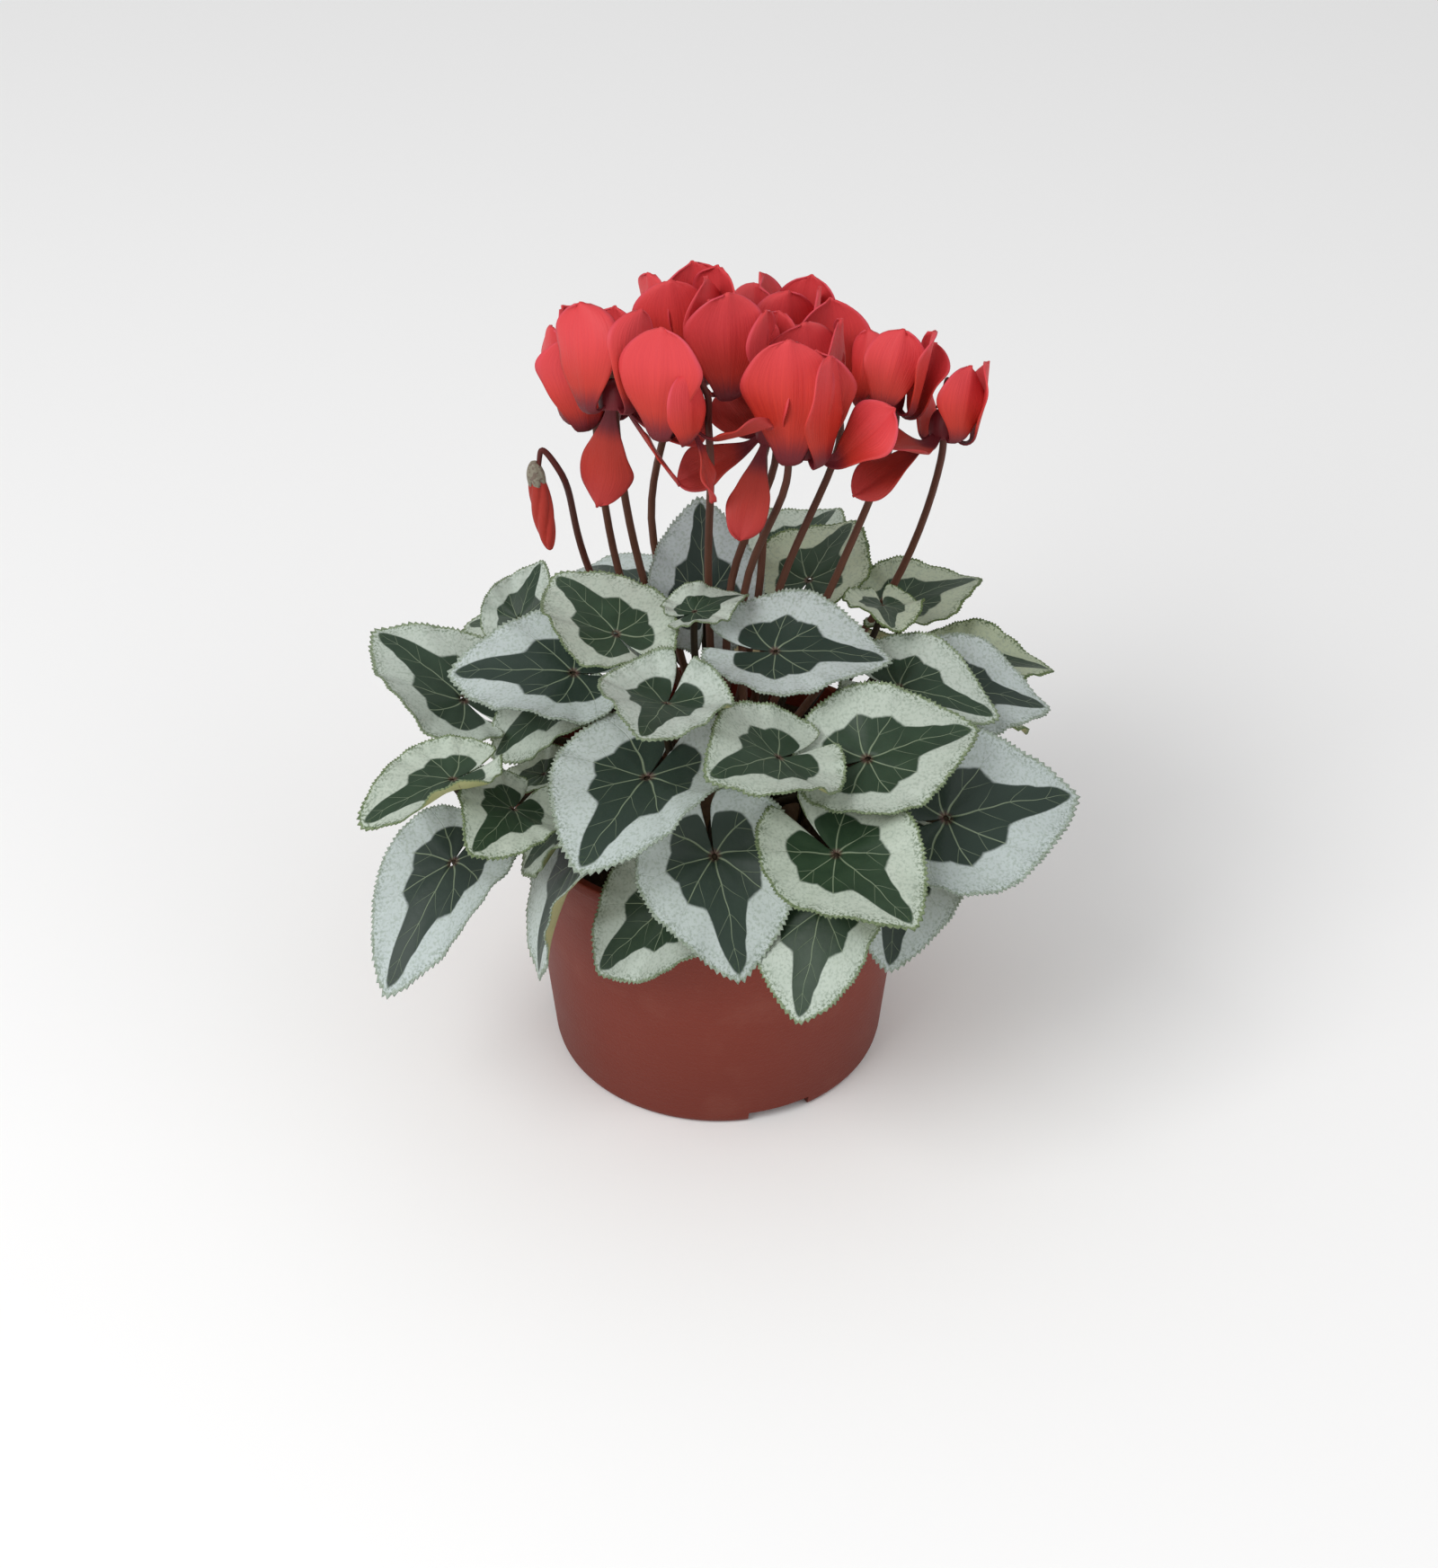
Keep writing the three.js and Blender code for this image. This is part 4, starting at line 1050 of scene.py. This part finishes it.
class Crown:
    """The corm's top, whose eyes follow a spiral; each stalk takes the free eye nearest to its way out."""

    def __init__(self) -> None:
        count = np.arange(CROWN_EYES)
        self.reach = CROWN_REACH * np.sqrt((count + 0.5) / CROWN_EYES)
        self.azimuth = CROWN_SPIRAL * count
        self.places = np.array([spot(*eye, 0.0)[:2] for eye in zip(self.azimuth, self.reach)])
        self.taken = np.zeros(CROWN_EYES)

    def take(self, target: np.ndarray) -> Root:
        """Takes an eye for a stalk that heads for a target, and gives the corm's surface there."""
        away = unit(target - spot(0.0, 0.0, CROWN_CENTRE))
        distance = np.linalg.norm(self.places - away[:2] * CROWN_REACH, axis=1) + self.taken * 1000.0
        k = int(np.argmin(distance))
        self.taken[k] = 1.0
        reach = self.reach[k]
        lift = math.sqrt(1.0 - (reach / CORM_RADIUS) ** 2)
        steepness = math.degrees(math.atan2(CORM_HALF_HEIGHT * reach, CORM_RADIUS**2 * lift))
        out = heading(self.azimuth[k], 90.0 - steepness)
        point = spot(self.azimuth[k], reach, CORM_MIDDLE + CORM_HALF_HEIGHT * lift)
        return Root(point + out * (CLEARANCE + 0.1), out)


# Leaves


def margin_reach(angle: np.ndarray) -> np.ndarray:
    """Gives the margin's distance from the petiole by degrees t from the tip, for a leaf of length 1.

    A round heart 0.56 + 0.07 cos t + 0.05 sin^2 t, drawn out to the tip by 0.37 exp(-(|t| / 25)^1.25), times
    the slit 1 - exp(-((180 - |t|) / 7)^2) behind the petiole.
    """
    turn = np.radians(angle)
    away = np.abs(angle)
    heart = 0.56 + 0.07 * np.cos(turn) + 0.05 * np.sin(turn) ** 2
    tip = 0.37 * np.exp(-((away / 25.0) ** 1.25))
    slit = 1.0 - np.exp(-(((180.0 - away) / 7.0) ** 2))
    return (heart + tip) * slit


class LeafMaker:
    """Makes a leaf: a waved, toothed blade on its petiole."""

    ROWS = np.concatenate([np.linspace(0.035, 0.88, 11), [0.93, 0.965, 0.988, 1.0]])
    COLUMNS = 231
    RUFFLES = (11.0, 17.0)
    PETIOLE_RINGS = 26
    PETIOLE_SIDES = 10

    def __init__(self, leaf: Leaf, root: Root, seed: int, moods: tuple) -> None:
        self.leaf = leaf
        self.moods = moods
        self.root = root
        self.rng = np.random.default_rng(seed)
        self.tip = heading(leaf.heading, leaf.slope + leaf.droop / 2)
        side = unit(np.cross(self.tip, UP))
        face = np.cross(side, self.tip)
        turn = math.radians(leaf.roll)
        self.side = side * math.cos(turn) - face * math.sin(turn)
        self.face = face * math.cos(turn) + side * math.sin(turn)
        self.base = spot(leaf.azimuth, leaf.reach, leaf.height)

    def blade(self) -> Shell:
        """Makes the blade over shares r of the margin m(t): (u, v) = r m (cos t, sin t).

        The lift is the margin's slow wave, a fine ruffle that grows with r^4 and the quilting, which is
        highest halfway between two veins; each side then curls up about the midrib, the tip droops and the
        two lobes behind the petiole rise.
        """
        leaf = self.leaf
        angle = np.linspace(-NOTCH_ANGLE, NOTCH_ANGLE, self.COLUMNS)
        turn = np.radians(angle)
        share = self.ROWS[:, None]
        teeth = self.rng.uniform(0.3, 1.0, self.COLUMNS) * np.where(np.arange(self.COLUMNS) % 2, -1.0, 1.0)
        margin = margin_reach(angle)
        reach = BLADE_SCALE * margin * share * (1.0 + TOOTH_DEPTH * teeth * ease(share, 0.94, 1.0))
        u, v = reach * np.cos(turn), reach * np.sin(turn)
        tilt = np.minimum(1.0, reach / np.maximum(margin, 0.15))
        wave = WAVE_HEIGHT * np.sin(WAVE_COUNT * turn)
        ruffle = sum(np.sin(count * turn + self.rng.uniform(0, 6)) for count in self.RUFFLES)
        quilt = np.sin(np.pi * angle / VEIN_SPACING) ** 2 * (1.1 - tilt)
        lift = wave * tilt**2 + RUFFLE_HEIGHT * ruffle * tilt**4 + QUILT_HEIGHT * quilt * tilt
        width = leaf.length * leaf.width
        curl = np.radians(np.where(v < 0, *leaf.curl)) / (0.56 * width)
        across, up = roll_strip(v * width, lift, curl)
        droop = -math.radians(leaf.droop) / leaf.length
        lobes = math.radians(leaf.lobes) / (0.5 * leaf.length)
        stretch = leaf.length * np.where(u < 0, leaf.back, 1.0)
        along, out = roll_strip(u * stretch, up, np.where(u > 0, droop, lobes))
        ways = np.stack([self.tip, self.side, self.face])
        middle = self.base + stacked(along, across, out) @ ways
        return sheet_shell(middle, stacked(u, v, share), BLADE_THICKNESS, -1.0, 1)

    def petiole(self) -> Shell:
        """Makes the petiole along a cubic from the crown, out over the rim and up to the blade."""
        leaf = self.leaf
        way = self.base - self.root.point
        span = np.linalg.norm(way)
        arrive = self.base - self.face * PETIOLE_DROP * span - self.tip * leaf.trail * span
        arrive[2] = max(arrive[2], min(self.base[2] - 2.0, POT_HEIGHT + PETIOLE_ARCH))
        sideways = unit(np.cross(way, UP)) * leaf.bow
        corners = (
            self.root.at(-FOOT_DEPTH),
            self.root.at(PETIOLE_RISE * span) + sideways,
            arrive + sideways,
            self.base - self.face * 0.4,
        )
        t = np.linspace(0.0, 1.0, self.PETIOLE_RINGS)[:, None]
        path = sum(math.comb(3, k) * point * t**k * (1 - t) ** (3 - k) for k, point in enumerate(corners))
        radii = PETIOLE_RADIUS * (1.12 - 0.3 * t[:, 0])
        return tube_shell(path, radii, self.PETIOLE_SIDES, self.rng.uniform(), 2)

    def shell(self) -> tuple:
        """Gives the leaf and its mood at each point."""
        made = Shell.joined([self.blade(), self.petiole()])
        return made, np.full(len(made.points), self.rng.uniform(*self.moods))


# Flowers


def scape_shell(root: Root, points: list, count: int, mood: float) -> Shell:
    """Makes a flower's stalk from the crown through points, thinner toward the flower.

    Args:
        root: its place on the crown.
        points: the points it runs through.
        count: how many rings it has.
        mood: a value from 0 to 1 for the finish.

    Returns:
        The stalk.
    """
    path = through(np.array([root.at(-FOOT_DEPTH), root.at(FOOT_RISE), *points]), count)
    return tube_shell(path, SCAPE_RADIUS * np.linspace(1.0, SCAPE_TAPER, count), SCAPE_SIDES, mood)


def five_folds(points: np.ndarray) -> np.ndarray:
    """Gives |cos 2.5 t| by the turn t about +Z: 1 at five tips and 0 between them."""
    return np.abs(np.cos(2.5 * np.arctan2(points[:, 1], points[:, 0])))


class FlowerMaker:
    """Makes a flower: five reflexed petals on a short tube, and the hooked stalk with its calyx."""

    ROWS = np.linspace(0.0, 0.994, 34)
    COLUMNS = 17
    STEPS = 96
    HANGING_WIDTH = 0.68
    NICK_PACE = 15.0
    WAVE_PACE = 9.0
    SWAY = 1.8
    CURLS = (-0.45, 0.5)
    UPRIGHT_SHADES = (0.3, 1.0)
    HANGING_PAINTED_SHADES = (0.0, 0.15)

    def __init__(self, bloom: Bloom, root: Root, seed: int) -> None:
        self.bloom = bloom
        self.root = root
        self.rng = np.random.default_rng(seed)
        self.mouth = np.array(bloom.mouth, dtype=float)
        self.up = heading(bloom.lean[0], 90.0 - bloom.lean[1])
        self.out = square_to(self.up, bloom.stalk_side)

    def middle_line(self, petal: Petal) -> tuple:
        """Gives a petal's middle line, which leaves the tube outward and down and turns to its slope.

        Args:
            petal: the petal.

        Returns:
            Its distances from the flower's axis, its heights over the mouth and its slopes in radians.
        """
        length = PETAL_LENGTH * petal.size
        fine = np.linspace(0.0, 1.0, self.STEPS + 1)
        step = (fine[1:] + fine[:-1]) / 2 * length
        slope = PETAL_FIRST_SLOPE + (petal.slope - PETAL_FIRST_SLOPE) * ease(step, 0.0, PETAL_BEND)
        slope = np.radians(np.concatenate([[PETAL_FIRST_SLOPE], slope + PETAL_BOW * (step / length) ** 2]))
        radius, height = (np.cumsum(way(slope) * length / self.STEPS) for way in (np.cos, np.sin))
        radius += PETAL_FOOT - radius[0]
        height += PETAL_FOOT_HEIGHT - height[0]
        return tuple(np.interp(self.ROWS, fine, line) for line in (radius, height, slope))

    def petal(self, petal: Petal) -> Shell:
        """Makes a petal over its share s of the length and its side from -1 to 1.

        Its half width runs from a narrow claw to the widest at two thirds and a softly pointed tip. The lift
        off its middle line is a cup, a wave along each edge, a keel and a fold of each flank.
        """
        share = self.ROWS[:, None]
        side = np.linspace(-1.0, 1.0, self.COLUMNS)
        radius, height, slope = (line[:, None] for line in self.middle_line(petal))
        outward = square_to(self.up, petal.azimuth)
        around = np.cross(self.up, outward)
        inward = -outward * np.sin(slope) + self.up * np.cos(slope)
        twist = np.radians(petal.twist * (0.5 + 0.5 * share))
        across = around * np.cos(twist) + inward * np.sin(twist)
        face = inward * np.cos(twist) - around * np.sin(twist)
        past = np.maximum((share - PETAL_TIP_START) / (1.0 - PETAL_TIP_START), 0.0)
        tip = np.maximum(1.0 - past**2.1, 0.0) ** 0.6
        broad = self.HANGING_WIDTH + (1.0 - self.HANGING_WIDTH) * ease(petal.slope, -60.0, 20.0)
        claw = PETAL_CLAW_SHARE + (1.0 - PETAL_CLAW_SHARE) * ease(share, 0.0, PETAL_WIDEST)
        half = PETAL_WIDTH * broad * petal.size / 2 * claw * tip
        nicks = np.sin(share * self.NICK_PACE + np.sign(side) * 1.3 + self.rng.uniform(0, 6))
        sway = self.rng.uniform(-self.SWAY, self.SWAY) * petal.size * share**2 * np.sin(2.2 * share)
        place = half * side * (1.0 + PETAL_NICK * nicks * ease(share, 0.3, 0.6)) + sway
        wave = np.abs(side) ** 2.5 * np.sin(share * self.WAVE_PACE + self.rng.uniform(0, 6) + side * 1.5)
        keel = np.exp(-((side / 0.22) ** 2)) * share
        curls = self.rng.uniform(*self.CURLS, 2)
        flank = np.maximum(np.abs(side) - 0.3, 0.0) ** 1.5 * np.where(side < 0, *curls)
        lift = half * (PETAL_CUP * side**2 + flank * ease(share, 0.1, 0.8)) - PETAL_KEEL * keel
        lift = lift + PETAL_WAVE * wave * ease(share, 0.2, 0.7)
        point = PETAL_POINT * petal.size * np.exp(-((side / 0.5) ** 2)) * ease(share, 0.84, 1.0)
        along = outward * np.cos(slope) + self.up * np.sin(slope)
        middle = (self.mouth + outward * radius + self.up * height)[:, None]
        for way, distance in ((along, point), (across, place), (face, lift)):
            middle = middle + way[:, None] * distance[..., None]
        # Hanging petals get low values, which paint shade on them; upright ones get higher values.
        shades = self.UPRIGHT_SHADES if petal.slope > UPRIGHT_SLOPE else self.HANGING_PAINTED_SHADES
        shade = self.rng.uniform(*shades)
        return sheet_shell(middle, stacked(share, side, shade), PETAL_THICKNESS, 1.0, 0)

    def tube(self) -> Shell:
        """Makes the short corolla tube, open at its mouth."""
        profile = [(0.05, 8.4), (2.6, 8.2), (4.1, 6.2), (4.6, 3.2), (4.35, 0.3), (4.0, -0.5)]
        profile += [(3.4, -0.5), (3.1, 0.4), (2.8, 4.0), (2.2, 5.8), (0.05, 6.0)]
        made = turned_shell(smooth_profile(profile, 30), 30)
        made.detail[:, 0] = 0.02
        return placed(made, self.mouth, self.out, self.up)

    def flower(self) -> Shell:
        """Makes the flower."""
        return Shell.joined([self.tube()] + [self.petal(Petal(*row)) for row in self.bloom.petals])

    def stalk(self) -> Shell:
        """Makes the stalk from the crown up beside the flower and over to the calyx."""
        aside = heading(self.bloom.stalk_side, 0.0) * SCAPE_SIDE
        seat = self.mouth + self.up * (THROAT_HEIGHT + CALYX_GAP)
        points = [
            np.array(self.bloom.belly, dtype=float),
            seat + aside * 1.08 - UP * 22.0,
            seat + aside - UP * 8.0,
            seat + aside * 0.95 + UP * 1.5,
            seat + aside * 0.5 + UP * 1.5 + self.up * 5.0,
            seat + self.up * (CALYX_HEIGHT + 2.2),
            seat + self.up * CALYX_HEIGHT * 0.35,
        ]
        return Shell.joined([scape_shell(self.root, points, 60, self.rng.uniform()), self.calyx(seat)])

    def calyx(self, seat: np.ndarray) -> Shell:
        """Makes the star of five sepals: radius r (0.64 + 0.36 |cos 2.5 t|) at its edge."""
        profile = [(0.05, 1.9), (1.5, 1.9), (2.5, 1.3), (3.4, -0.1), (3.1, -0.25), (2.0, -0.1), (0.05, 0.0)]
        made = turned_shell(smooth_profile(profile, 16), 40)
        reach = np.hypot(made.points[:, 0], made.points[:, 1])
        star = 1.0 - 0.36 * ease(reach, 1.4, 3.0) * (1.0 - five_folds(made.points))
        made.points[:, :2] *= star[:, None]
        made.finishes[:] = 1
        return placed(made, seat, self.out, self.up)


class BudMaker:
    """Makes the rolled bud that hangs from its hooked stalk."""

    def __init__(self, root: Root) -> None:
        self.root = root
        self.seat, tip, self.apex, self.shoulder, self.belly = np.array(BUD_PLACE, dtype=float)
        self.axis = unit(tip - self.seat)
        self.out = unit(np.array([0.0, -1.0, 0.0]) + self.axis * self.axis[1])

    def petals(self) -> Shell:
        """Makes the spindle: radius g(s) (0.78 + 0.22 |cos 2.5 (t - w s)|^0.7), with w the twist."""
        share = np.linspace(0.0, 1.0, 48)[:, None]
        turn = turns(50)
        girth = BUD_RADIUS * (0.45 + 0.55 * np.sin(np.pi * np.minimum(1.0, 0.2 + 0.75 * share)))
        girth = girth * np.sqrt(np.clip(1.0 - ((share - 0.3) / 0.7) ** 6, 0.0, 1.0)) + 0.03
        girth = girth * (0.78 + 0.22 * np.abs(np.cos(2.5 * (turn - math.radians(BUD_TWIST) * share))) ** 0.7)
        drop = CLEARANCE + 0.6 + share * BUD_LENGTH
        ways = np.stack([self.out, np.cross(self.axis, self.out), self.axis])
        points = self.seat + stacked(girth * np.cos(turn), girth * np.sin(turn), drop) @ ways
        # The value 0.1 paints the same shade on the bud as on hanging petals.
        return wrap_shell(points, stacked(0.34 + 0.34 * share, np.cos(2.5 * turn) * 0.7, 0.1))

    def stalk(self) -> Shell:
        """Makes the hooked stalk and the closed calyx, with its lobes, at its end."""
        points = [self.belly, self.shoulder, self.apex, self.seat * 0.6 + self.apex * 0.4]
        stem = scape_shell(self.root, points, 50, 0.4)
        profile = [(0.05, 0.2), (2.15, 0.9), (2.45, 2.0), (2.75, 0.8)]
        profile += [(2.7, -1.4), (2.0, -3.6), (1.0, -5.0), (0.05, -5.2)]
        cup = turned_shell(smooth_profile(profile, 30), 40)
        lobes = five_folds(cup.points) ** 0.7
        cup.points[:, 2] += 2.4 * ease(cup.points[:, 2], -1.6, 1.6) * (lobes - 0.55)
        cup.points[:, :2] *= (0.88 + 0.12 * lobes)[:, None]
        cup.finishes[:] = 1
        return Shell.joined([stem, placed(cup, self.seat, self.out, self.axis)])


# Pot, soil and corm


def pot_radius(height: float) -> float:
    """Gives the pot's outer radius at a height."""
    return POT_BASE_RADIUS + (POT_RIM_RADIUS - POT_LIP - POT_BASE_RADIUS) * height / POT_HEIGHT


class PotMaker:
    """Makes the pot with its rolled rim and drain notches, the soil in it and the corm."""

    POT_SIDES = 256
    SOIL_SIDES = 240
    CORM_SIDES = 120

    def __init__(self, shop: Workshop) -> None:
        self.shop = shop

    def pot(self) -> None:
        """Turns the pot's wall, then joins the raised blocks inside its foot and cuts the notches."""
        rim = POT_RIM_RADIUS
        foot = POT_HEIGHT - POT_LIP_HEIGHT
        inner = rim - POT_WALL - 1.0
        bevel = POT_BEVEL * 1.4
        inside = [(0.05, POT_FLOOR), (pot_radius(POT_FLOOR) - POT_WALL - 1.0, POT_FLOOR)]
        inside += [(pot_radius(height) - POT_WALL, height) for height in (4.0, foot)]
        roll = [(inner, POT_HEIGHT - 0.7), (inner + 0.5, POT_HEIGHT), (rim - 0.9, POT_HEIGHT)]
        roll += [(rim - 0.25, POT_HEIGHT - 0.3), (rim, POT_HEIGHT - 1.0), (rim, foot + 1.1)]
        roll += [(rim - 0.3, foot + 0.5), (pot_radius(foot) + 0.35, foot + 0.1)]
        outside = [(pot_radius(foot), foot - 0.5), (pot_radius(bevel), bevel), (pot_radius(1.2) - 0.2, 1.2)]
        outside += [(POT_BASE_RADIUS - 0.9, 0.35), (POT_BASE_RADIUS - POT_BEVEL, 0.0), (0.05, 0.0)]
        wall = turned_shell(inside + roll + outside, self.POT_SIDES)
        piece = self.shop.piece("pot", wall, (POT_FINISH,), Slot.POT)
        deep = POT_BASE_RADIUS - NOTCH_DEPTH
        block = ((deep - NOTCH_ROOF, POT_BASE_RADIUS - 2.5), (0.5, NOTCH_HEIGHT + NOTCH_ROOF), "UNION")
        notch = ((deep, POT_BASE_RADIUS + 6.0), (-1.0, NOTCH_HEIGHT), "DIFFERENCE")
        for k in range(NOTCH_COUNT):
            azimuth = NOTCH_AZIMUTH + 360.0 / NOTCH_COUNT * k
            self.carve(piece, azimuth, NOTCH_WIDTH + 2 * NOTCH_ROOF, *block)
            self.carve(piece, azimuth, NOTCH_WIDTH, *notch)
        piece.data.polygons.foreach_set("use_smooth", np.ones(len(piece.data.polygons), dtype=bool))
        piece.data.set_sharp_from_angle(angle=math.radians(SHARP_ANGLE))
        piece.modifiers.new("edges", "WEIGHTED_NORMAL").keep_sharp = True

    @staticmethod
    def carve(
        piece: bpy.types.Object, azimuth: float, width: float, reach: tuple, height: tuple, way: str
    ) -> None:
        """Joins a block to a piece or cuts it away.

        Args:
            piece: the piece.
            azimuth: the side that the block lies across.
            width: its width.
            reach: where it starts and ends, from the axis.
            height: where it starts and ends, from the foot.
            way: the boolean's operation.
        """
        signs = np.array([[x, y, z] for z in (-1, 1) for x, y in ((-1, -1), (1, -1), (1, 1), (-1, 1))]) / 2
        sizes = np.array([width, reach[1] - reach[0], height[1] - height[0]])
        ways = np.stack([heading(azimuth + 90.0, 0.0), heading(azimuth, 0.0), UP])
        corners = spot(azimuth, sum(reach) / 2, sum(height) / 2) + (signs * sizes) @ ways
        faces = [(1, 2, 3, 0), (7, 6, 5, 4), (4, 5, 1, 0), (5, 6, 2, 1), (6, 7, 3, 2), (7, 4, 0, 3)]
        mesh = bpy.data.meshes.new("block")
        mesh.from_pydata((corners * MM).tolist(), [], faces)
        block = added("block", mesh)
        cut = piece.modifiers.new("cut", "BOOLEAN")
        cut.operation = way
        cut.solver = "EXACT"
        cut.object = block
        done = bpy.data.meshes.new_from_object(piece.evaluated_get(bpy.context.evaluated_depsgraph_get()))
        piece.modifiers.remove(cut)
        old = piece.data
        piece.data = done
        bpy.data.objects.remove(block)
        for used in (old, mesh):
            bpy.data.meshes.remove(used)

    def soil(self) -> None:
        """Turns the soil and lifts its top in crumbs, by three sizes of ripple."""
        wall = pot_radius(SOIL_LEVEL) - POT_WALL - CLEARANCE - 0.2
        hollow = CORM_RADIUS + CLEARANCE
        floor = POT_FLOOR + CLEARANCE
        profile = [(0.05, 69.6), (14.0, 71.6), (23.0, 76.5), (hollow, 83.0)]
        profile += [(reach, SOIL_LEVEL + 1.2) for reach in np.linspace(hollow, wall, 60)]
        profile += [(pot_radius(8.0) - POT_WALL - 0.6, 8.0), (39.0, 7.0), (37.0, floor), (0.05, floor)]
        made = turned_shell(profile, self.SOIL_SIDES)
        points = made.points
        reach = np.hypot(points[:, 0], points[:, 1])
        is_top = ease(points[:, 2], SOIL_LEVEL - 1.0, SOIL_LEVEL) * ease(wall - reach, -0.1, 1.5)
        lift = sum(height * ripple(points, size, seed) for height, size, seed in CRUMBS)
        points[:, 2] += is_top * np.clip(lift, -1.6, 1.1)
        self.shop.piece("potting_soil", made, (SOIL_FINISH,), Slot.SOIL)

    def corm(self) -> None:
        """Turns the flattened globe and roughens it by ripples up to half a millimetre deep."""
        turn = np.linspace(np.pi / 2, -np.pi / 2, 60)
        radius = np.maximum(0.05, CORM_RADIUS * np.cos(turn))
        height = CORM_MIDDLE + CORM_HALF_HEIGHT * np.sin(turn)
        made = turned_shell(list(zip(radius, height)), self.CORM_SIDES)
        centre = np.array([0.0, 0.0, CORM_MIDDLE])
        depth = 0.25 + 0.25 * ripple(made.points, 5.0, 4)
        made.points -= unit(made.points - centre) * np.clip(depth, 0.0, 0.5)[:, None]
        self.shop.piece("corm", made, (CORM_FINISH,), Slot.CORM)


# The plant


class Plant:
    """Grows the whole plant, taking the crown's eyes in the frame's order."""

    FLOWER_SEED = 100
    LEAF_SEED = 200
    STALK_FINISHES = (STALK_FINISH, CALYX_FINISH)
    LEAF_FINISHES = (UPPER_FINISH, UNDER_FINISH, PETIOLE_FINISH)

    def __init__(self, shop: Workshop) -> None:
        self.shop = shop
        self.crown = Crown()

    def grow(self) -> None:
        """Makes the flowers, the bud and the leaves."""
        for seed, bloom in enumerate(BLOOMS, self.FLOWER_SEED):
            maker = FlowerMaker(bloom, self.crown.take(np.array(bloom.belly, dtype=float)), seed)
            self.shop.piece("flower_stalk_" + bloom.name, maker.stalk(), self.STALK_FINISHES, Slot.STALK)
            self.shop.piece("bloom_" + bloom.name, maker.flower(), (PETAL_FINISH,), Slot.BLOOM)
        bud = BudMaker(self.crown.take(np.array(BUD_PLACE[4], dtype=float)))
        self.shop.piece("bud_stalk", bud.stalk(), self.STALK_FINISHES, Slot.STALK)
        self.shop.piece("bud_petals", bud.petals(), (PETAL_FINISH,), Slot.BLOOM)
        for seed, (node, leaves) in enumerate(LEAVES.items()):
            self.leaves(node, leaves, self.LEAF_SEED + 10 * seed)

    def leaves(self, node: str, leaves: tuple, seed: int) -> None:
        """Makes the leaves that share one node and one foot on the crown."""
        middle = np.mean([spot(leaf.azimuth, leaf.reach, leaf.height) for leaf in leaves], axis=0)
        root = self.crown.take(middle)
        moods = BLUISH_MOODS if node in BLUISH else YELLOWISH_MOODS if node in YELLOWISH else GREENISH_MOODS
        made = [LeafMaker(leaf, root, seed + k, moods).shell() for k, leaf in enumerate(leaves)]
        shell = Shell.joined([shell for shell, _ in made])
        mood = np.concatenate([mood for _, mood in made])
        self.shop.piece(node, shell, self.LEAF_FINISHES, Slot.LEAF, mood)


# Stage


class Stage:
    """The camera, the soft studio light and the pale floor."""

    def camera(self) -> None:
        """Puts the camera where the photograph was taken from."""
        lens = bpy.data.cameras.new("camera")
        lens.lens = CAMERA_LENS
        camera = added("camera", lens)
        camera.location = CAMERA_PLACE
        camera.rotation_euler = (math.radians(CAMERA_TILT), 0.0, 0.0)
        bpy.context.scene.camera = camera

    def lamp(self, name: str, place: tuple, size: float, power: float) -> None:
        """Adds a square soft light that faces the plant's middle."""
        light = bpy.data.lights.new(name, "AREA")
        light.size = size
        light.energy = power
        lamp = added(name, light)
        lamp.location = place
        way = unit(np.array(place) - np.array(LAMP_AIM))
        lamp.rotation_euler = (math.acos(way[2]), 0.0, math.atan2(way[0], -way[1]))

    def floor(self) -> None:
        """Lays a pale floor that runs out of view."""
        material = bpy.data.materials.new("floor")
        material.use_nodes = True
        shader = material.node_tree.nodes["Principled BSDF"]
        shader.inputs["Base Color"].default_value = (*FLOOR_COLOUR, 1.0)
        shader.inputs["Roughness"].default_value = 0.9
        mesh = bpy.data.meshes.new("floor")
        corners = [(x * FLOOR_REACH, y * FLOOR_REACH, 0.0) for x, y in ((-1, -1), (1, -1), (1, 1), (-1, 1))]
        mesh.from_pydata(corners, [], [(0, 1, 2, 3)])
        mesh.materials.append(material)
        floor = added("floor", mesh)

    def light(self) -> None:
        """Lights the plant from all round, with a soft key from the upper left."""
        world = bpy.data.worlds.new("studio")
        world.use_nodes = True
        background = world.node_tree.nodes["Background"]
        background.inputs[0].default_value = (1.0, 1.0, 1.0, 1.0)
        background.inputs[1].default_value = WORLD_STRENGTH
        bpy.context.scene.world = world
        for name, place, size, power in LAMPS:
            self.lamp(name, place, size, power)
        bpy.context.scene.view_settings.view_transform = "Standard"


def main() -> None:
    """Builds the scene."""
    stage = Stage()
    stage.camera()
    stage.light()
    stage.floor()
    shop = Workshop()
    pot = PotMaker(shop)
    pot.pot()
    pot.soil()
    pot.corm()
    Plant(shop).grow()
    LOG.info("%d triangles in all", shop.triangles)
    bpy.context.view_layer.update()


if __name__ == "__main__":
    main()
